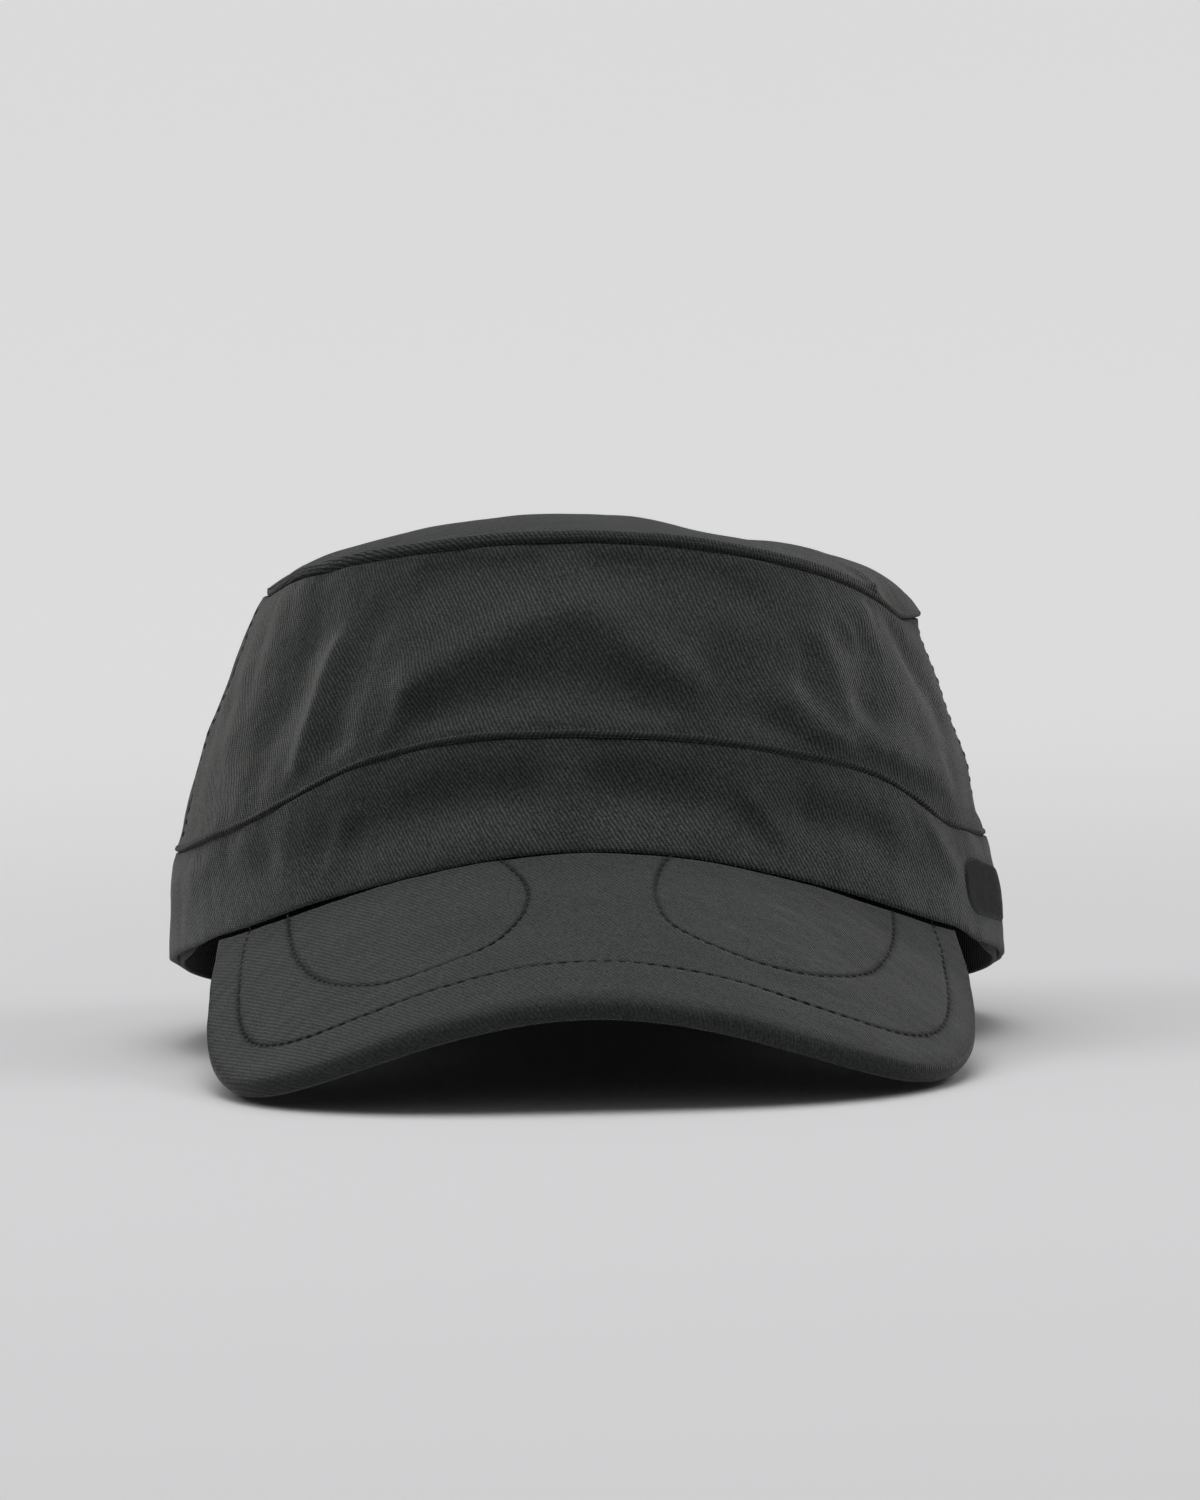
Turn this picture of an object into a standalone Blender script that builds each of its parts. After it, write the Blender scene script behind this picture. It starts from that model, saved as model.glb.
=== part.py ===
"""Patrol cap sewn in cotton twill, at rest on the two front corners of its peak and the back of its rim.

Units are metres and +Z is up. The wearer would face -Y, so the peak points along -Y.
The origin is on the resting surface, under the middle of the whole cap.
Angles run round the head: 0 degrees is the front, +90 is the +X side, 180 is the back.
"""

import math

import bmesh
import bpy
import numpy as np

MM = 0.001

# Rim: the lower edge of the band, tilted so that its back rests on the surface.
# The back would lie a little under the surface, so the cloth is flattened there
RIM_WIDTH = 178 * MM
RIM_LENGTH = 196 * MM
RIM_SIDE_HEIGHT = 15.5 * MM
RIM_BACK_SINK = 1 * MM

# The cap leans a little: every metre towards +X lowers it this many metres
LEAN = 0.0155
LEAN_FADE = 30 * MM

# Band seam: where the crown wall overlaps the band
BAND_SEAM_WIDTH = 172.5 * MM
BAND_SEAM_LENGTH = 189 * MM
BAND_SEAM_FRONT_HEIGHT = 67 * MM
BAND_SEAM_SHIFT = -1.1 * MM

# Top seam: where the top panel overlaps the crown wall
TOP_SEAM_WIDTH = 139.6 * MM
TOP_SEAM_LENGTH = 162 * MM
TOP_SEAM_FRONT_HEIGHT = 105 * MM
TOP_SEAM_SHIFT = 2 * MM
TOP_CENTRE_HEIGHT = 105.7 * MM
TOP_ROUNDNESS = 2.6
SHOULDER_ROUNDNESS = 12
SHOULDER_FALL = 5 * MM
SHOULDER_FALL_BY = 0.8
SHOULDER_ROUND_FROM = 0.5

# Peak: a stiff slab bent across its width and sloping down to the front
PEAK_HALF_WIDTH = 77.8 * MM
PEAK_REACH = 164.5 * MM
PEAK_WIDEST_AT = 70 * MM
PEAK_SHIFT = 0.5 * MM
PEAK_CORNER_POWER = 2.8
PEAK_ROOT_HEIGHT = 44.08 * MM
PEAK_SLOPE = 0.352
PEAK_BEND_RADIUS = 79.8 * MM
PEAK_THICKNESS = 4.2 * MM
PEAK_EDGE_ROUNDING = 1.5 * MM
PEAK_ROOT_INSET = 3.5 * MM
PEAK_ROOT_ANGLE = 57.5
RIM_BLEND = 9

# Cloth and its joins
CLOTH = 1.4 * MM
SWEATBAND_THICKNESS = 1.1 * MM
GAP = 0.3 * MM
HEM_SHARE = 0.07
TUCK = 2.6 * MM
TUCK_LEAN = 0.3
TUCK_START = 0.85
RIDGE_WIDTH = 2.2 * MM
RIDGE_HEIGHT = 0.6 * MM
RIDGE_FOOT = 0.1
SIDE_SEAM_ANGLE = 82

# Where the head is, so that the whole cap is centred on the origin
HEAD_Y = (PEAK_REACH - RIM_LENGTH / 2) / 2

# Steps round the head and across the peak
ANGLE_STEP = 6
PEAK_COLUMNS = 26
PEAK_ROWS = 8

# Seam heights round the head, as shares of the height at the front.
# Columns: degrees from the front, band seam on the -X side and on the +X side, top seam likewise
SEAM_HEIGHTS = (
    (0, 1.000, 1.000, 1.000, 1.000),
    (15, 0.990, 0.976, 0.998, 0.987),
    (30, 0.918, 0.920, 0.983, 0.957),
    (45, 0.788, 0.838, 0.963, 0.918),
    (52, 0.734, 0.770, 0.951, 0.895),
    (60, 0.692, 0.688, 0.939, 0.865),
    (67, 0.660, 0.655, 0.924, 0.838),
    (75, 0.633, 0.630, 0.910, 0.835),
    (90, 0.611, 0.606, 0.908, 0.835),
    (120, 0.487, 0.480, 0.824, 0.790),
    (150, 0.396, 0.390, 0.762, 0.750),
    (180, 0.358, 0.358, 0.735, 0.735),
)

# How far the crown wall swells beyond a straight wall.
# Columns: share of the wall height, swell
WALL_SWELL = (
    (0.00, 0.0 * MM),
    (0.15, 0.9 * MM),
    (0.35, 1.6 * MM),
    (0.60, 1.4 * MM),
    (0.85, 0.5 * MM),
    (1.00, 0.0 * MM),
)

# How far the band swells beyond a straight strip.
# Columns: share of the band height, swell
BAND_SWELL = (
    (0.0, 0.0 * MM),
    (0.3, 0.5 * MM),
    (0.6, 0.9 * MM),
    (0.85, 0.5 * MM),
    (1.0, 0.0 * MM),
)

# The raised edge of the crown wall along the band seam, from its lower end up.
# Columns: share of RIDGE_WIDTH, share of RIDGE_HEIGHT
WALL_EDGE = (
    (0.00, RIDGE_FOOT),
    (0.30, 0.95),
    (0.65, 0.95),
    (1.00, 0.15),
)

# The turned-down edge of the top panel, laid out like that of the wall
TOP_EDGE = (
    (0.00, 0.3),
    (0.35, 0.8),
    (0.75, 0.0),
)

# Where the crown wall's plain rows lie, as shares of its height, and the top panel's, as shares of its radius
WALL_ROWS = (0.13, 0.22, 0.34, 0.46, 0.58, 0.70, 0.82, 0.91)
TOP_ROWS = (0.975, 0.94, 0.88, 0.79, 0.67, 0.52, 0.35, 0.17)

# Where the band's rows of points lie, as shares of its height. The sweatband uses some of them
BAND_ROWS = (0, 0.06, 0.2, 0.38, 0.56, 0.7, 0.8, 0.86, 0.93, 1)
SWEATBAND_ROWS = BAND_ROWS[1:6]

# The sweatband hangs below the rim at each side, between these angles from the front
SWEATBAND_HANG = 1 * MM
SWEATBAND_HANG_ANGLES = (64, 76, 108, 126)

# Folds in the crown wall fade in between the first two shares of its height and out between the last two
FOLD_FADE = (0.03, 0.16, 0.88, 1.0)

# Soft folds in the crown wall. Each runs straight between two places.
# Columns: start degrees, start share of the wall height, end degrees, end share, width,
# height (inward if negative)
WALL_FOLDS = (
    (-24, 0.36, -4, 0.65, 5.5 * MM, 2.4 * MM),
    (1, 0.65, 14, 0.32, 5.5 * MM, 2.4 * MM),
    (-19.5, 0.20, -5, 0.28, 5.5 * MM, -2.4 * MM),
    (1, 0.28, 11, 0.22, 5.5 * MM, -2.4 * MM),
    (-25, 0.84, -9, 0.86, 5 * MM, -1.4 * MM),
    (3, 0.86, 25, 0.80, 5 * MM, -1.4 * MM),
    (-41.5, 0.66, -45, 0.12, 3.2 * MM, 1.8 * MM),
    (-34, 0.60, -36, 0.20, 6 * MM, -1.6 * MM),
    (-24, 0.30, -26.5, 0.05, 2.6 * MM, 1.1 * MM),
    (20, 0.32, 27, 0.12, 7 * MM, -1.6 * MM),
    (31, 0.27, 38, 0.06, 4 * MM, 1.9 * MM),
    (46, 0.15, 62, 0.22, 5 * MM, 1.4 * MM),
    (38.5, 0.66, 39, 0.28, 2.6 * MM, 1.5 * MM),
    (35, 0.50, 34, 0.38, 3.5 * MM, -1.4 * MM),
    (48, 0.66, 45, 0.36, 5 * MM, -2.1 * MM),
    (51, 0.90, 45, 0.70, 2.6 * MM, 1.3 * MM),
    (62, 0.90, 70, 0.55, 6 * MM, -1.6 * MM),
    (-48, 0.70, -51, 0.30, 10 * MM, -2.8 * MM),
    (88, 0.20, 88, 0.80, 14 * MM, -1.5 * MM),
    (118, 0.75, 128, 0.25, 9 * MM, 1.8 * MM),
    (150, 0.80, 145, 0.30, 10 * MM, -2.2 * MM),
    (178, 0.60, -168, 0.30, 12 * MM, 1.8 * MM),
    (-125, 0.80, -132, 0.20, 10 * MM, -1.7 * MM),
)

# Soft folds in the band, laid out like those of the wall
BAND_FOLDS = (
    (-33, 0.38, -24, 0.46, 6.5 * MM, -2.4 * MM),
    (-17.5, 0.48, -7, 0.52, 6.5 * MM, -2.6 * MM),
    (4, 0.52, 13, 0.48, 6.5 * MM, -2.8 * MM),
    (19.5, 0.42, 22, 0.34, 6 * MM, -1.4 * MM),
    (31, 0.48, 42, 0.50, 5 * MM, -1.6 * MM),
    (-34.5, 0.58, -37, 0.25, 2.6 * MM, 1.2 * MM),
    (23, 0.52, 25, 0.32, 2.6 * MM, 1.0 * MM),
    (-60, 0.50, -47, 0.50, 6 * MM, -1.3 * MM),
    (54, 0.85, 58, 0.55, 4 * MM, 1.1 * MM),
    (128, 0.70, 134, 0.30, 9 * MM, 1.2 * MM),
    (-140, 0.60, -150, 0.40, 10 * MM, -1.3 * MM),
)

# Millimetres of cloth per degree round the head, used to measure folds
FOLD_ARC = math.pi * (BAND_SEAM_WIDTH + BAND_SEAM_LENGTH) / 2 / 360

CLOTH_COLOUR = (0.055, 0.062, 0.062, 1)
PEAK_COLOUR = (0.065, 0.072, 0.072, 1)
SWEATBAND_COLOUR = (0.030, 0.033, 0.032, 1)


def through(rows, column, at):
    """Reads one column of a table as a smooth curve through its rows."""
    table = np.array(rows, float)
    places, values = table[:, 0], table[:, column]
    slopes = np.gradient(values, places)
    low = np.clip(np.searchsorted(places, at, side="right") - 1, 0, len(places) - 2)
    step = places[low + 1] - places[low]
    t = (at - places[low]) / step
    start = values[low] * (1 + 2 * t) * (1 - t) ** 2 + slopes[low] * step * t * (1 - t) ** 2
    end = values[low + 1] * t * t * (3 - 2 * t) + slopes[low + 1] * step * t * t * (t - 1)
    return start + end


def smooth_step(low, high, at):
    """Rises smoothly from 0 at low to 1 at high."""
    t = np.clip((at - low) / (high - low), 0, 1)
    return t * t * (3 - 2 * t)


def folds(rows, degrees, share, height):
    """Adds up the soft folds at one place: each is a rounded ridge along a straight line."""
    total = np.zeros(np.broadcast(degrees, share).shape)
    for start, start_share, end, end_share, width, depth in rows:
        line_across = ((end - start + 180) % 360 - 180) * FOLD_ARC
        line_up = (end_share - start_share) * height
        across = ((degrees - start + 180) % 360 - 180) * FOLD_ARC
        up = (share - start_share) * height
        t = np.clip((across * line_across + up * line_up) / (line_across**2 + line_up**2), 0, 1)
        apart = np.hypot(across - t * line_across, up - t * line_up)
        total = total + depth * np.exp(-((apart / width) ** 2))
    return total


def around(degrees, width, length, shift, outward):
    """Returns x and y on an oval round the head, moved sideways and outward by two distances."""
    turn = np.radians(degrees)
    x = shift + (width / 2 + outward) * np.sin(turn)
    y = HEAD_Y - (length / 2 + outward) * np.cos(turn)
    return x, y


def seam_share(degrees, column):
    """Reads a seam's height share, from one column on the -X side and the next on the +X side."""
    low_x = through(SEAM_HEIGHTS, column, np.abs(degrees))
    high_x = through(SEAM_HEIGHTS, column + 1, np.abs(degrees))
    return np.where(degrees < 0, low_x, high_x)


def band_seam_height(degrees):
    """Height of the crown wall's lower edge, which overlaps the band."""
    return BAND_SEAM_FRONT_HEIGHT * seam_share(degrees, 1)


def top_seam_height(degrees):
    """Height of the top panel's lower edge, which overlaps the wall and sags more on the +X side."""
    return TOP_SEAM_FRONT_HEIGHT * seam_share(degrees, 3)


def peak_height(x, y):
    """Height of the upper face of the peak."""
    behind_root = y - HEAD_Y + RIM_LENGTH / 2
    lean = LEAN * x * smooth_step(-LEAN_FADE, LEAN_FADE, behind_root)
    return PEAK_ROOT_HEIGHT + PEAK_SLOPE * behind_root - (x - PEAK_SHIFT) ** 2 / (2 * PEAK_BEND_RADIUS) - lean


def rim_height(degrees):
    """Height of the rim: flat where the cap rests, tilted round the sides, just over the peak in front."""
    x, y = around(degrees, RIM_WIDTH, RIM_LENGTH, 0, 0)
    backward = (y - HEAD_Y) / (RIM_LENGTH / 2)
    tilted = RIM_SIDE_HEIGHT - (RIM_SIDE_HEIGHT + RIM_BACK_SINK) * backward
    on_surface = np.maximum(tilted - LEAN * x, 0)
    on_peak = 1 - smooth_step(PEAK_ROOT_ANGLE, PEAK_ROOT_ANGLE + RIM_BLEND, np.abs(degrees))
    return on_surface + on_peak * (peak_height(x, y) + GAP - on_surface)


def ring(degrees, width, length, shift, outward, height):
    """Stacks x, y and z of one row of points round the head."""
    x, y = around(degrees, width, length, shift, outward)
    return np.stack([x, y, np.broadcast_to(height, x.shape)], axis=-1)


def wall_rows(degrees):
    """Rows of the crown wall's outer face, from its lower edge to the edge under the top panel."""
    low = band_seam_height(degrees)
    high = top_seam_height(degrees) + RIDGE_WIDTH - CLOTH - 2 * GAP
    rows = []
    for along, out in WALL_EDGE:
        rows.append((low + along * RIDGE_WIDTH, out * RIDGE_HEIGHT))
    for share in WALL_ROWS:
        rows.append((low + share * (high - low), 0))
    rows.append((high - RIDGE_WIDTH / 2, -RIDGE_HEIGHT / 2))
    rows.append((high, -CLOTH))
    fade_in, all_in, fade_out, all_out = FOLD_FADE
    points = []
    for height, out in rows:
        share = (height - low) / (high - low)
        swell = through(WALL_SWELL, 1, share)
        inside = smooth_step(fade_in, all_in, share) - smooth_step(fade_out, all_out, share)
        swell = swell + inside * folds(WALL_FOLDS, degrees, share, high - low)
        width = BAND_SEAM_WIDTH + share * (TOP_SEAM_WIDTH - BAND_SEAM_WIDTH)
        length = BAND_SEAM_LENGTH + share * (TOP_SEAM_LENGTH - BAND_SEAM_LENGTH)
        shift = BAND_SEAM_SHIFT + share * (TOP_SEAM_SHIFT - BAND_SEAM_SHIFT)
        points.append(ring(degrees, width, length, shift, swell + out, height))
    return points


def band_rows(degrees, inset, shares):
    """Rows of a strip that follows the band, moved inward by a distance."""
    rim = rim_height(degrees)
    seam = band_seam_height(degrees)
    points = []
    for share in shares:
        height = rim + share * (seam + TUCK - rim)
        of_band = (height - rim) / (seam - rim)
        up = np.clip((of_band - HEM_SHARE) / (1 - HEM_SHARE), 0, 1)
        swell = through(BAND_SWELL, 1, up)
        swell = swell + (1 - up**4) * folds(BAND_FOLDS, degrees, up, seam - rim)
        tuck = (CLOTH + GAP + RIDGE_FOOT * RIDGE_HEIGHT) * smooth_step(TUCK_START, 1.0, of_band)
        lean = TUCK_LEAN * np.maximum(height - seam, 0)
        width = RIM_WIDTH + up * (BAND_SEAM_WIDTH - RIM_WIDTH)
        length = RIM_LENGTH + up * (BAND_SEAM_LENGTH - RIM_LENGTH)
        outward = swell - tuck - lean - inset
        points.append(ring(degrees, width, length, up * BAND_SEAM_SHIFT, outward, height))
    return points


def top_rows(degrees):
    """Rows of the top panel's outer face, from its turned-down edge in to the middle."""
    low = top_seam_height(degrees)
    rise = low + RIDGE_WIDTH
    turn = np.radians(degrees)
    points = []
    for along, out in TOP_EDGE:
        height = low + along * RIDGE_WIDTH
        outward = out * RIDGE_HEIGHT
        points.append(ring(degrees, TOP_SEAM_WIDTH, TOP_SEAM_LENGTH, TOP_SEAM_SHIFT, outward, height))
    front, high_x, back, low_x = top_seam_height(np.array([0, 90, 180, -90]))
    fall = SHOULDER_FALL * smooth_step(0, SHOULDER_FALL_BY, np.sin(turn))
    tilt = (front - back) / 2 * np.cos(turn) + (high_x - low_x) / 2 * np.sin(turn) - fall
    shoulder = smooth_step(SHOULDER_ROUND_FROM, 1, np.sin(turn)) * (1 - np.clip(np.cos(turn), 0, 1))
    power = TOP_ROUNDNESS + (SHOULDER_ROUNDNESS - TOP_ROUNDNESS) * shoulder
    for radius in TOP_ROWS:
        x, y = around(degrees, radius * TOP_SEAM_WIDTH, radius * TOP_SEAM_LENGTH, TOP_SEAM_SHIFT, 0)
        sag = (rise - TOP_CENTRE_HEIGHT - tilt) * radius**power
        points.append(np.stack([x, y, TOP_CENTRE_HEIGHT + radius * tilt + sag], axis=-1))
    return points


def peak_rows():
    """Rows of the peak's upper face, from its front edge back to its root under the band."""
    fine = np.linspace(-math.pi / 2, math.pi / 2, 60 * PEAK_COLUMNS + 1)
    power = 2 / PEAK_CORNER_POWER
    forward = PEAK_REACH - PEAK_WIDEST_AT
    fine_x = PEAK_SHIFT + PEAK_HALF_WIDTH * np.sign(fine) * np.abs(np.sin(fine)) ** power
    fine_y = HEAD_Y - PEAK_WIDEST_AT - forward * np.maximum(np.cos(fine), 0) ** power
    run = np.cumsum(np.hypot(np.diff(fine_x, prepend=fine_x[0]), np.diff(fine_y, prepend=fine_y[0])))
    across = np.linspace(-1, 1, PEAK_COLUMNS + 1)
    edge_x = np.interp((1 + across) / 2 * run[-1], run, fine_x)
    edge_y = np.interp((1 + across) / 2 * run[-1], run, fine_y)
    rim_x, rim_y = around(across * PEAK_ROOT_ANGLE, RIM_WIDTH, RIM_LENGTH, 0, 0)
    points = []
    for share in np.linspace(0, 1, PEAK_ROWS):
        x = edge_x + share * (rim_x - edge_x)
        y = edge_y + share * (rim_y - edge_y)
        points.append(np.stack([x, y, peak_height(x, y)], axis=-1))
    root_x, root_y = around(across * PEAK_ROOT_ANGLE, RIM_WIDTH, RIM_LENGTH, 0, -PEAK_ROOT_INSET)
    points.append(np.stack([root_x, root_y, peak_height(rim_x, rim_y) - GAP], axis=-1))
    return points


def material(name, colour, roughness):
    """Makes a plain cloth material."""
    made = bpy.data.materials.new(name)
    made.use_nodes = True
    shader = made.node_tree.nodes["Principled BSDF"]
    shader.inputs["Base Color"].default_value = colour
    shader.inputs["Roughness"].default_value = roughness
    shader.inputs["Metallic"].default_value = 0
    made.diffuse_color = colour
    return made


def cloth(name, rows, thickness, closed, collection, look):
    """Lays rows of points out as an open sheet and thickens it inward."""
    mesh = bmesh.new()
    lines = [[mesh.verts.new(point) for point in row] for row in rows]
    count = len(lines[0])
    for lower, upper in zip(lines, lines[1:]):
        for i in range(count if closed else count - 1):
            j = (i + 1) % count
            mesh.faces.new((lower[i], lower[j], upper[j], upper[i]))
    data = bpy.data.meshes.new(name)
    mesh.to_mesh(data)
    mesh.free()
    data.materials.append(look)
    made = bpy.data.objects.new(name, data)
    collection.objects.link(made)
    solid = made.modifiers.new("Thickness", "SOLIDIFY")
    solid.thickness = thickness
    solid.offset = -1
    solid.use_quality_normals = True
    return made


def close_middle(panel, centre):
    """Closes the middle of a round panel with a fan of faces."""
    mesh = bmesh.new()
    mesh.from_mesh(panel.data)
    highest = max(vert.index for vert in mesh.verts)
    mesh.verts.ensure_lookup_table()
    count = 360 // ANGLE_STEP
    last = mesh.verts[highest - count + 1 : highest + 1]
    middle = mesh.verts.new(centre)
    for i, vert in enumerate(last):
        mesh.faces.new((vert, last[(i + 1) % count], middle))
    mesh.to_mesh(panel.data)
    mesh.free()


def build():
    """Builds every sub-part of the cap."""
    for old in list(bpy.data.objects):
        bpy.data.objects.remove(old)
    cap = bpy.data.collections.new("patrol_cap")
    bpy.context.scene.collection.children.link(cap)
    twill = material("Twill cloth", CLOTH_COLOUR, 0.9)
    peak_twill = material("Peak cloth", PEAK_COLOUR, 0.88)
    lining = material("Sweatband cloth", SWEATBAND_COLOUR, 0.92)

    full = np.arange(-180, 180, ANGLE_STEP, dtype=float)
    seam_gap = GAP / 2 / FOLD_ARC
    front_end = SIDE_SEAM_ANGLE - seam_gap
    back_start = SIDE_SEAM_ANGLE + seam_gap
    front_columns = 2 * round(SIDE_SEAM_ANGLE / ANGLE_STEP)
    back_columns = 360 // ANGLE_STEP - front_columns
    front = np.linspace(-front_end, front_end, front_columns + 1)
    back = np.linspace(back_start, 360 - back_start, back_columns + 1)
    back = np.where(back > 180, back - 360, back)

    top = cloth("top_panel", top_rows(full), CLOTH, True, cap, twill)
    close_middle(top, (TOP_SEAM_SHIFT, HEAD_Y, TOP_CENTRE_HEIGHT))
    cloth("crown_front", wall_rows(front), CLOTH, False, cap, twill)
    cloth("crown_back", wall_rows(back), CLOTH, False, cap, twill)

    cloth("band", band_rows(full, 0, BAND_ROWS), CLOTH, True, cap, twill)
    start, hung, still_hung, end = SWEATBAND_HANG_ANGLES
    beside = smooth_step(start, hung, np.abs(full)) - smooth_step(still_hung, end, np.abs(full))
    band_height = band_seam_height(full) + TUCK - rim_height(full)
    lowest = SWEATBAND_ROWS[0] - beside * (SWEATBAND_ROWS[0] + SWEATBAND_HANG / band_height)
    inner = band_rows(full, CLOTH + GAP, (lowest, *SWEATBAND_ROWS[1:]))
    cloth("sweatband", inner, SWEATBAND_THICKNESS, True, cap, lining)

    peak = cloth("peak", peak_rows(), PEAK_THICKNESS, False, cap, peak_twill)
    rounding = peak.modifiers.new("Edge rounding", "BEVEL")
    rounding.width = PEAK_EDGE_ROUNDING
    rounding.segments = 2
    rounding.limit_method = "ANGLE"
    rounding.angle_limit = math.radians(50)


build()
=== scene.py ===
"""Patrol cap in charcoal cotton twill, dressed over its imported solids.

Every cloth piece is a surface worked out on a grid: angle round the head by height or distance in.
Angles run round the head: 0 degrees is the front, +90 is the +X side, 180 is the back.
Units are metres and +Z is up. Each surface carries a flat map of its cloth, in metres, for the weave.
"""

import math

import bpy
import numpy as np
from bpy.props import FloatProperty, FloatVectorProperty, PointerProperty
from mathutils import Matrix, Vector


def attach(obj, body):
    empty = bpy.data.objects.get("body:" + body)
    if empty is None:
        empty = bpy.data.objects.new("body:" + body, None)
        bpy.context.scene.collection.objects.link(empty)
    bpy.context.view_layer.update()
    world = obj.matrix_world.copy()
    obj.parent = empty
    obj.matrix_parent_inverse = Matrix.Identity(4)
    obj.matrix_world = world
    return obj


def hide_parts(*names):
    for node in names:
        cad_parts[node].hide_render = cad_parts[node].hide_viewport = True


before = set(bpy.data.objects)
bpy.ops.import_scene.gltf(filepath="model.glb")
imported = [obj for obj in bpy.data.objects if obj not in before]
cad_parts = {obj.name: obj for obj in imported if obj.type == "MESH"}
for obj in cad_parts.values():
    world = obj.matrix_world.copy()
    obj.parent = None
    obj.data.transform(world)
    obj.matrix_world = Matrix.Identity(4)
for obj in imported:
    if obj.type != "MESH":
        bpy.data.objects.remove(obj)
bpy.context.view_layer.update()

bl_info = {
    "name": "Patrol cap",
    "version": (1, 0, 0),
    "blender": (4, 5, 0),
    "location": "3D View > Sidebar > Patrol cap",
    "description": "Sews a patrol cap in twill over its packed solids",
    "category": "Add Mesh",
}

MM = 0.001

# Main sizes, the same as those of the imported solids
RIM_WIDTH = 178 * MM
RIM_LENGTH = 196 * MM
RIM_SIDE_HEIGHT = 15.5 * MM
RIM_BACK_SINK = 1 * MM
LEAN = 0.0155
LEAN_FADE = 30 * MM
BAND_SEAM_WIDTH = 172.5 * MM
BAND_SEAM_LENGTH = 189 * MM
BAND_SEAM_FRONT_HEIGHT = 67 * MM
BAND_SEAM_SHIFT = -1.1 * MM
TOP_SEAM_WIDTH = 139.6 * MM
TOP_SEAM_LENGTH = 162 * MM
TOP_SEAM_FRONT_HEIGHT = 105 * MM
TOP_SEAM_SHIFT = 2 * MM
TOP_CENTRE_HEIGHT = 105.7 * MM
TOP_ROUNDNESS = 2.6
SHOULDER_ROUNDNESS = 12
SHOULDER_FALL = 5 * MM
SHOULDER_FALL_BY = 0.8
SHOULDER_ROUND_FROM = 0.5
PEAK_HALF_WIDTH = 77.8 * MM
PEAK_REACH = 164.5 * MM
PEAK_WIDEST_AT = 70 * MM
PEAK_SHIFT = 0.5 * MM
PEAK_CORNER_POWER = 2.8
PEAK_ROOT_HEIGHT = 44.08 * MM
PEAK_SLOPE = 0.352
PEAK_BEND_RADIUS = 79.8 * MM
PEAK_THICKNESS = 4.2 * MM
PEAK_ROOT_INSET = 3.5 * MM
PEAK_ROOT_ANGLE = 57.5
RIM_BLEND = 9
CLOTH = 1.4 * MM
SWEATBAND_THICKNESS = 1.1 * MM
GAP = 0.3 * MM
TUCK = 2.6 * MM
SIDE_SEAM_ANGLE = 82
HEAD_Y = (PEAK_REACH - RIM_LENGTH / 2) / 2

# Seam heights round the head, as shares of the height at the front.
# Columns: degrees from the front, band seam on the -X side and on the +X side, top seam likewise
SEAM_HEIGHTS = (
    (0, 1.000, 1.000, 1.000, 1.000),
    (15, 0.990, 0.976, 0.998, 0.987),
    (30, 0.918, 0.920, 0.983, 0.957),
    (45, 0.788, 0.838, 0.963, 0.918),
    (52, 0.734, 0.770, 0.951, 0.895),
    (60, 0.692, 0.688, 0.939, 0.865),
    (67, 0.660, 0.655, 0.924, 0.838),
    (75, 0.633, 0.630, 0.910, 0.835),
    (90, 0.611, 0.606, 0.908, 0.835),
    (120, 0.487, 0.480, 0.824, 0.790),
    (150, 0.396, 0.390, 0.762, 0.750),
    (180, 0.358, 0.358, 0.735, 0.735),
)

# How far the crown wall and the band swell. Columns: share of the height, swell
WALL_SWELL = ((0, 0), (0.15, 0.9 * MM), (0.35, 1.6 * MM), (0.6, 1.4 * MM), (0.85, 0.5 * MM), (1, 0))
BAND_SWELL = ((0, 0), (0.3, 0.5 * MM), (0.6, 0.9 * MM), (0.85, 0.5 * MM), (1, 0))

# Soft folds in the crown wall. Each runs straight between two places. Columns: start degrees, start share of
# the wall's height, end degrees, end share, width and height in millimetres (negative is inward)
WALL_FOLDS = (
    (-24, 0.36, -4, 0.65, 5.5, 2.4),
    (1, 0.65, 14, 0.32, 5.5, 2.4),
    (-19.5, 0.20, -5, 0.28, 5.5, -2.4),
    (1, 0.28, 11, 0.22, 5.5, -2.4),
    (-25, 0.84, -9, 0.86, 5, -1.4),
    (3, 0.86, 25, 0.80, 5, -1.4),
    (-39.8, 0.62, -41.4, 0.14, 4, 1.6),
    (-34, 0.60, -36, 0.20, 6, -1.6),
    (-24, 0.30, -26.5, 0.05, 2.6, 1.1),
    (20, 0.32, 27, 0.12, 7, -1.6),
    (30, 0.27, 37, 0.08, 5, 1.7),
    (46, 0.15, 62, 0.22, 5, 1.4),
    (38, 0.64, 40, 0.32, 4.5, 0.9),
    (35, 0.50, 34, 0.38, 4.2, -1.0),
    (48, 0.66, 45, 0.36, 6, -1.8),
    (51, 0.88, 46, 0.74, 3.6, 1.0),
    (62, 0.90, 70, 0.55, 6, -1.6),
    (-47.5, 0.68, -49, 0.40, 8.5, -2.0),
    (88, 0.20, 88, 0.80, 14, -1.5),
    (118, 0.75, 128, 0.25, 9, 1.8),
    (150, 0.80, 145, 0.30, 10, -2.2),
    (178, 0.60, -168, 0.30, 12, 1.8),
    (-125, 0.80, -132, 0.20, 10, -1.7),
)

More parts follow.
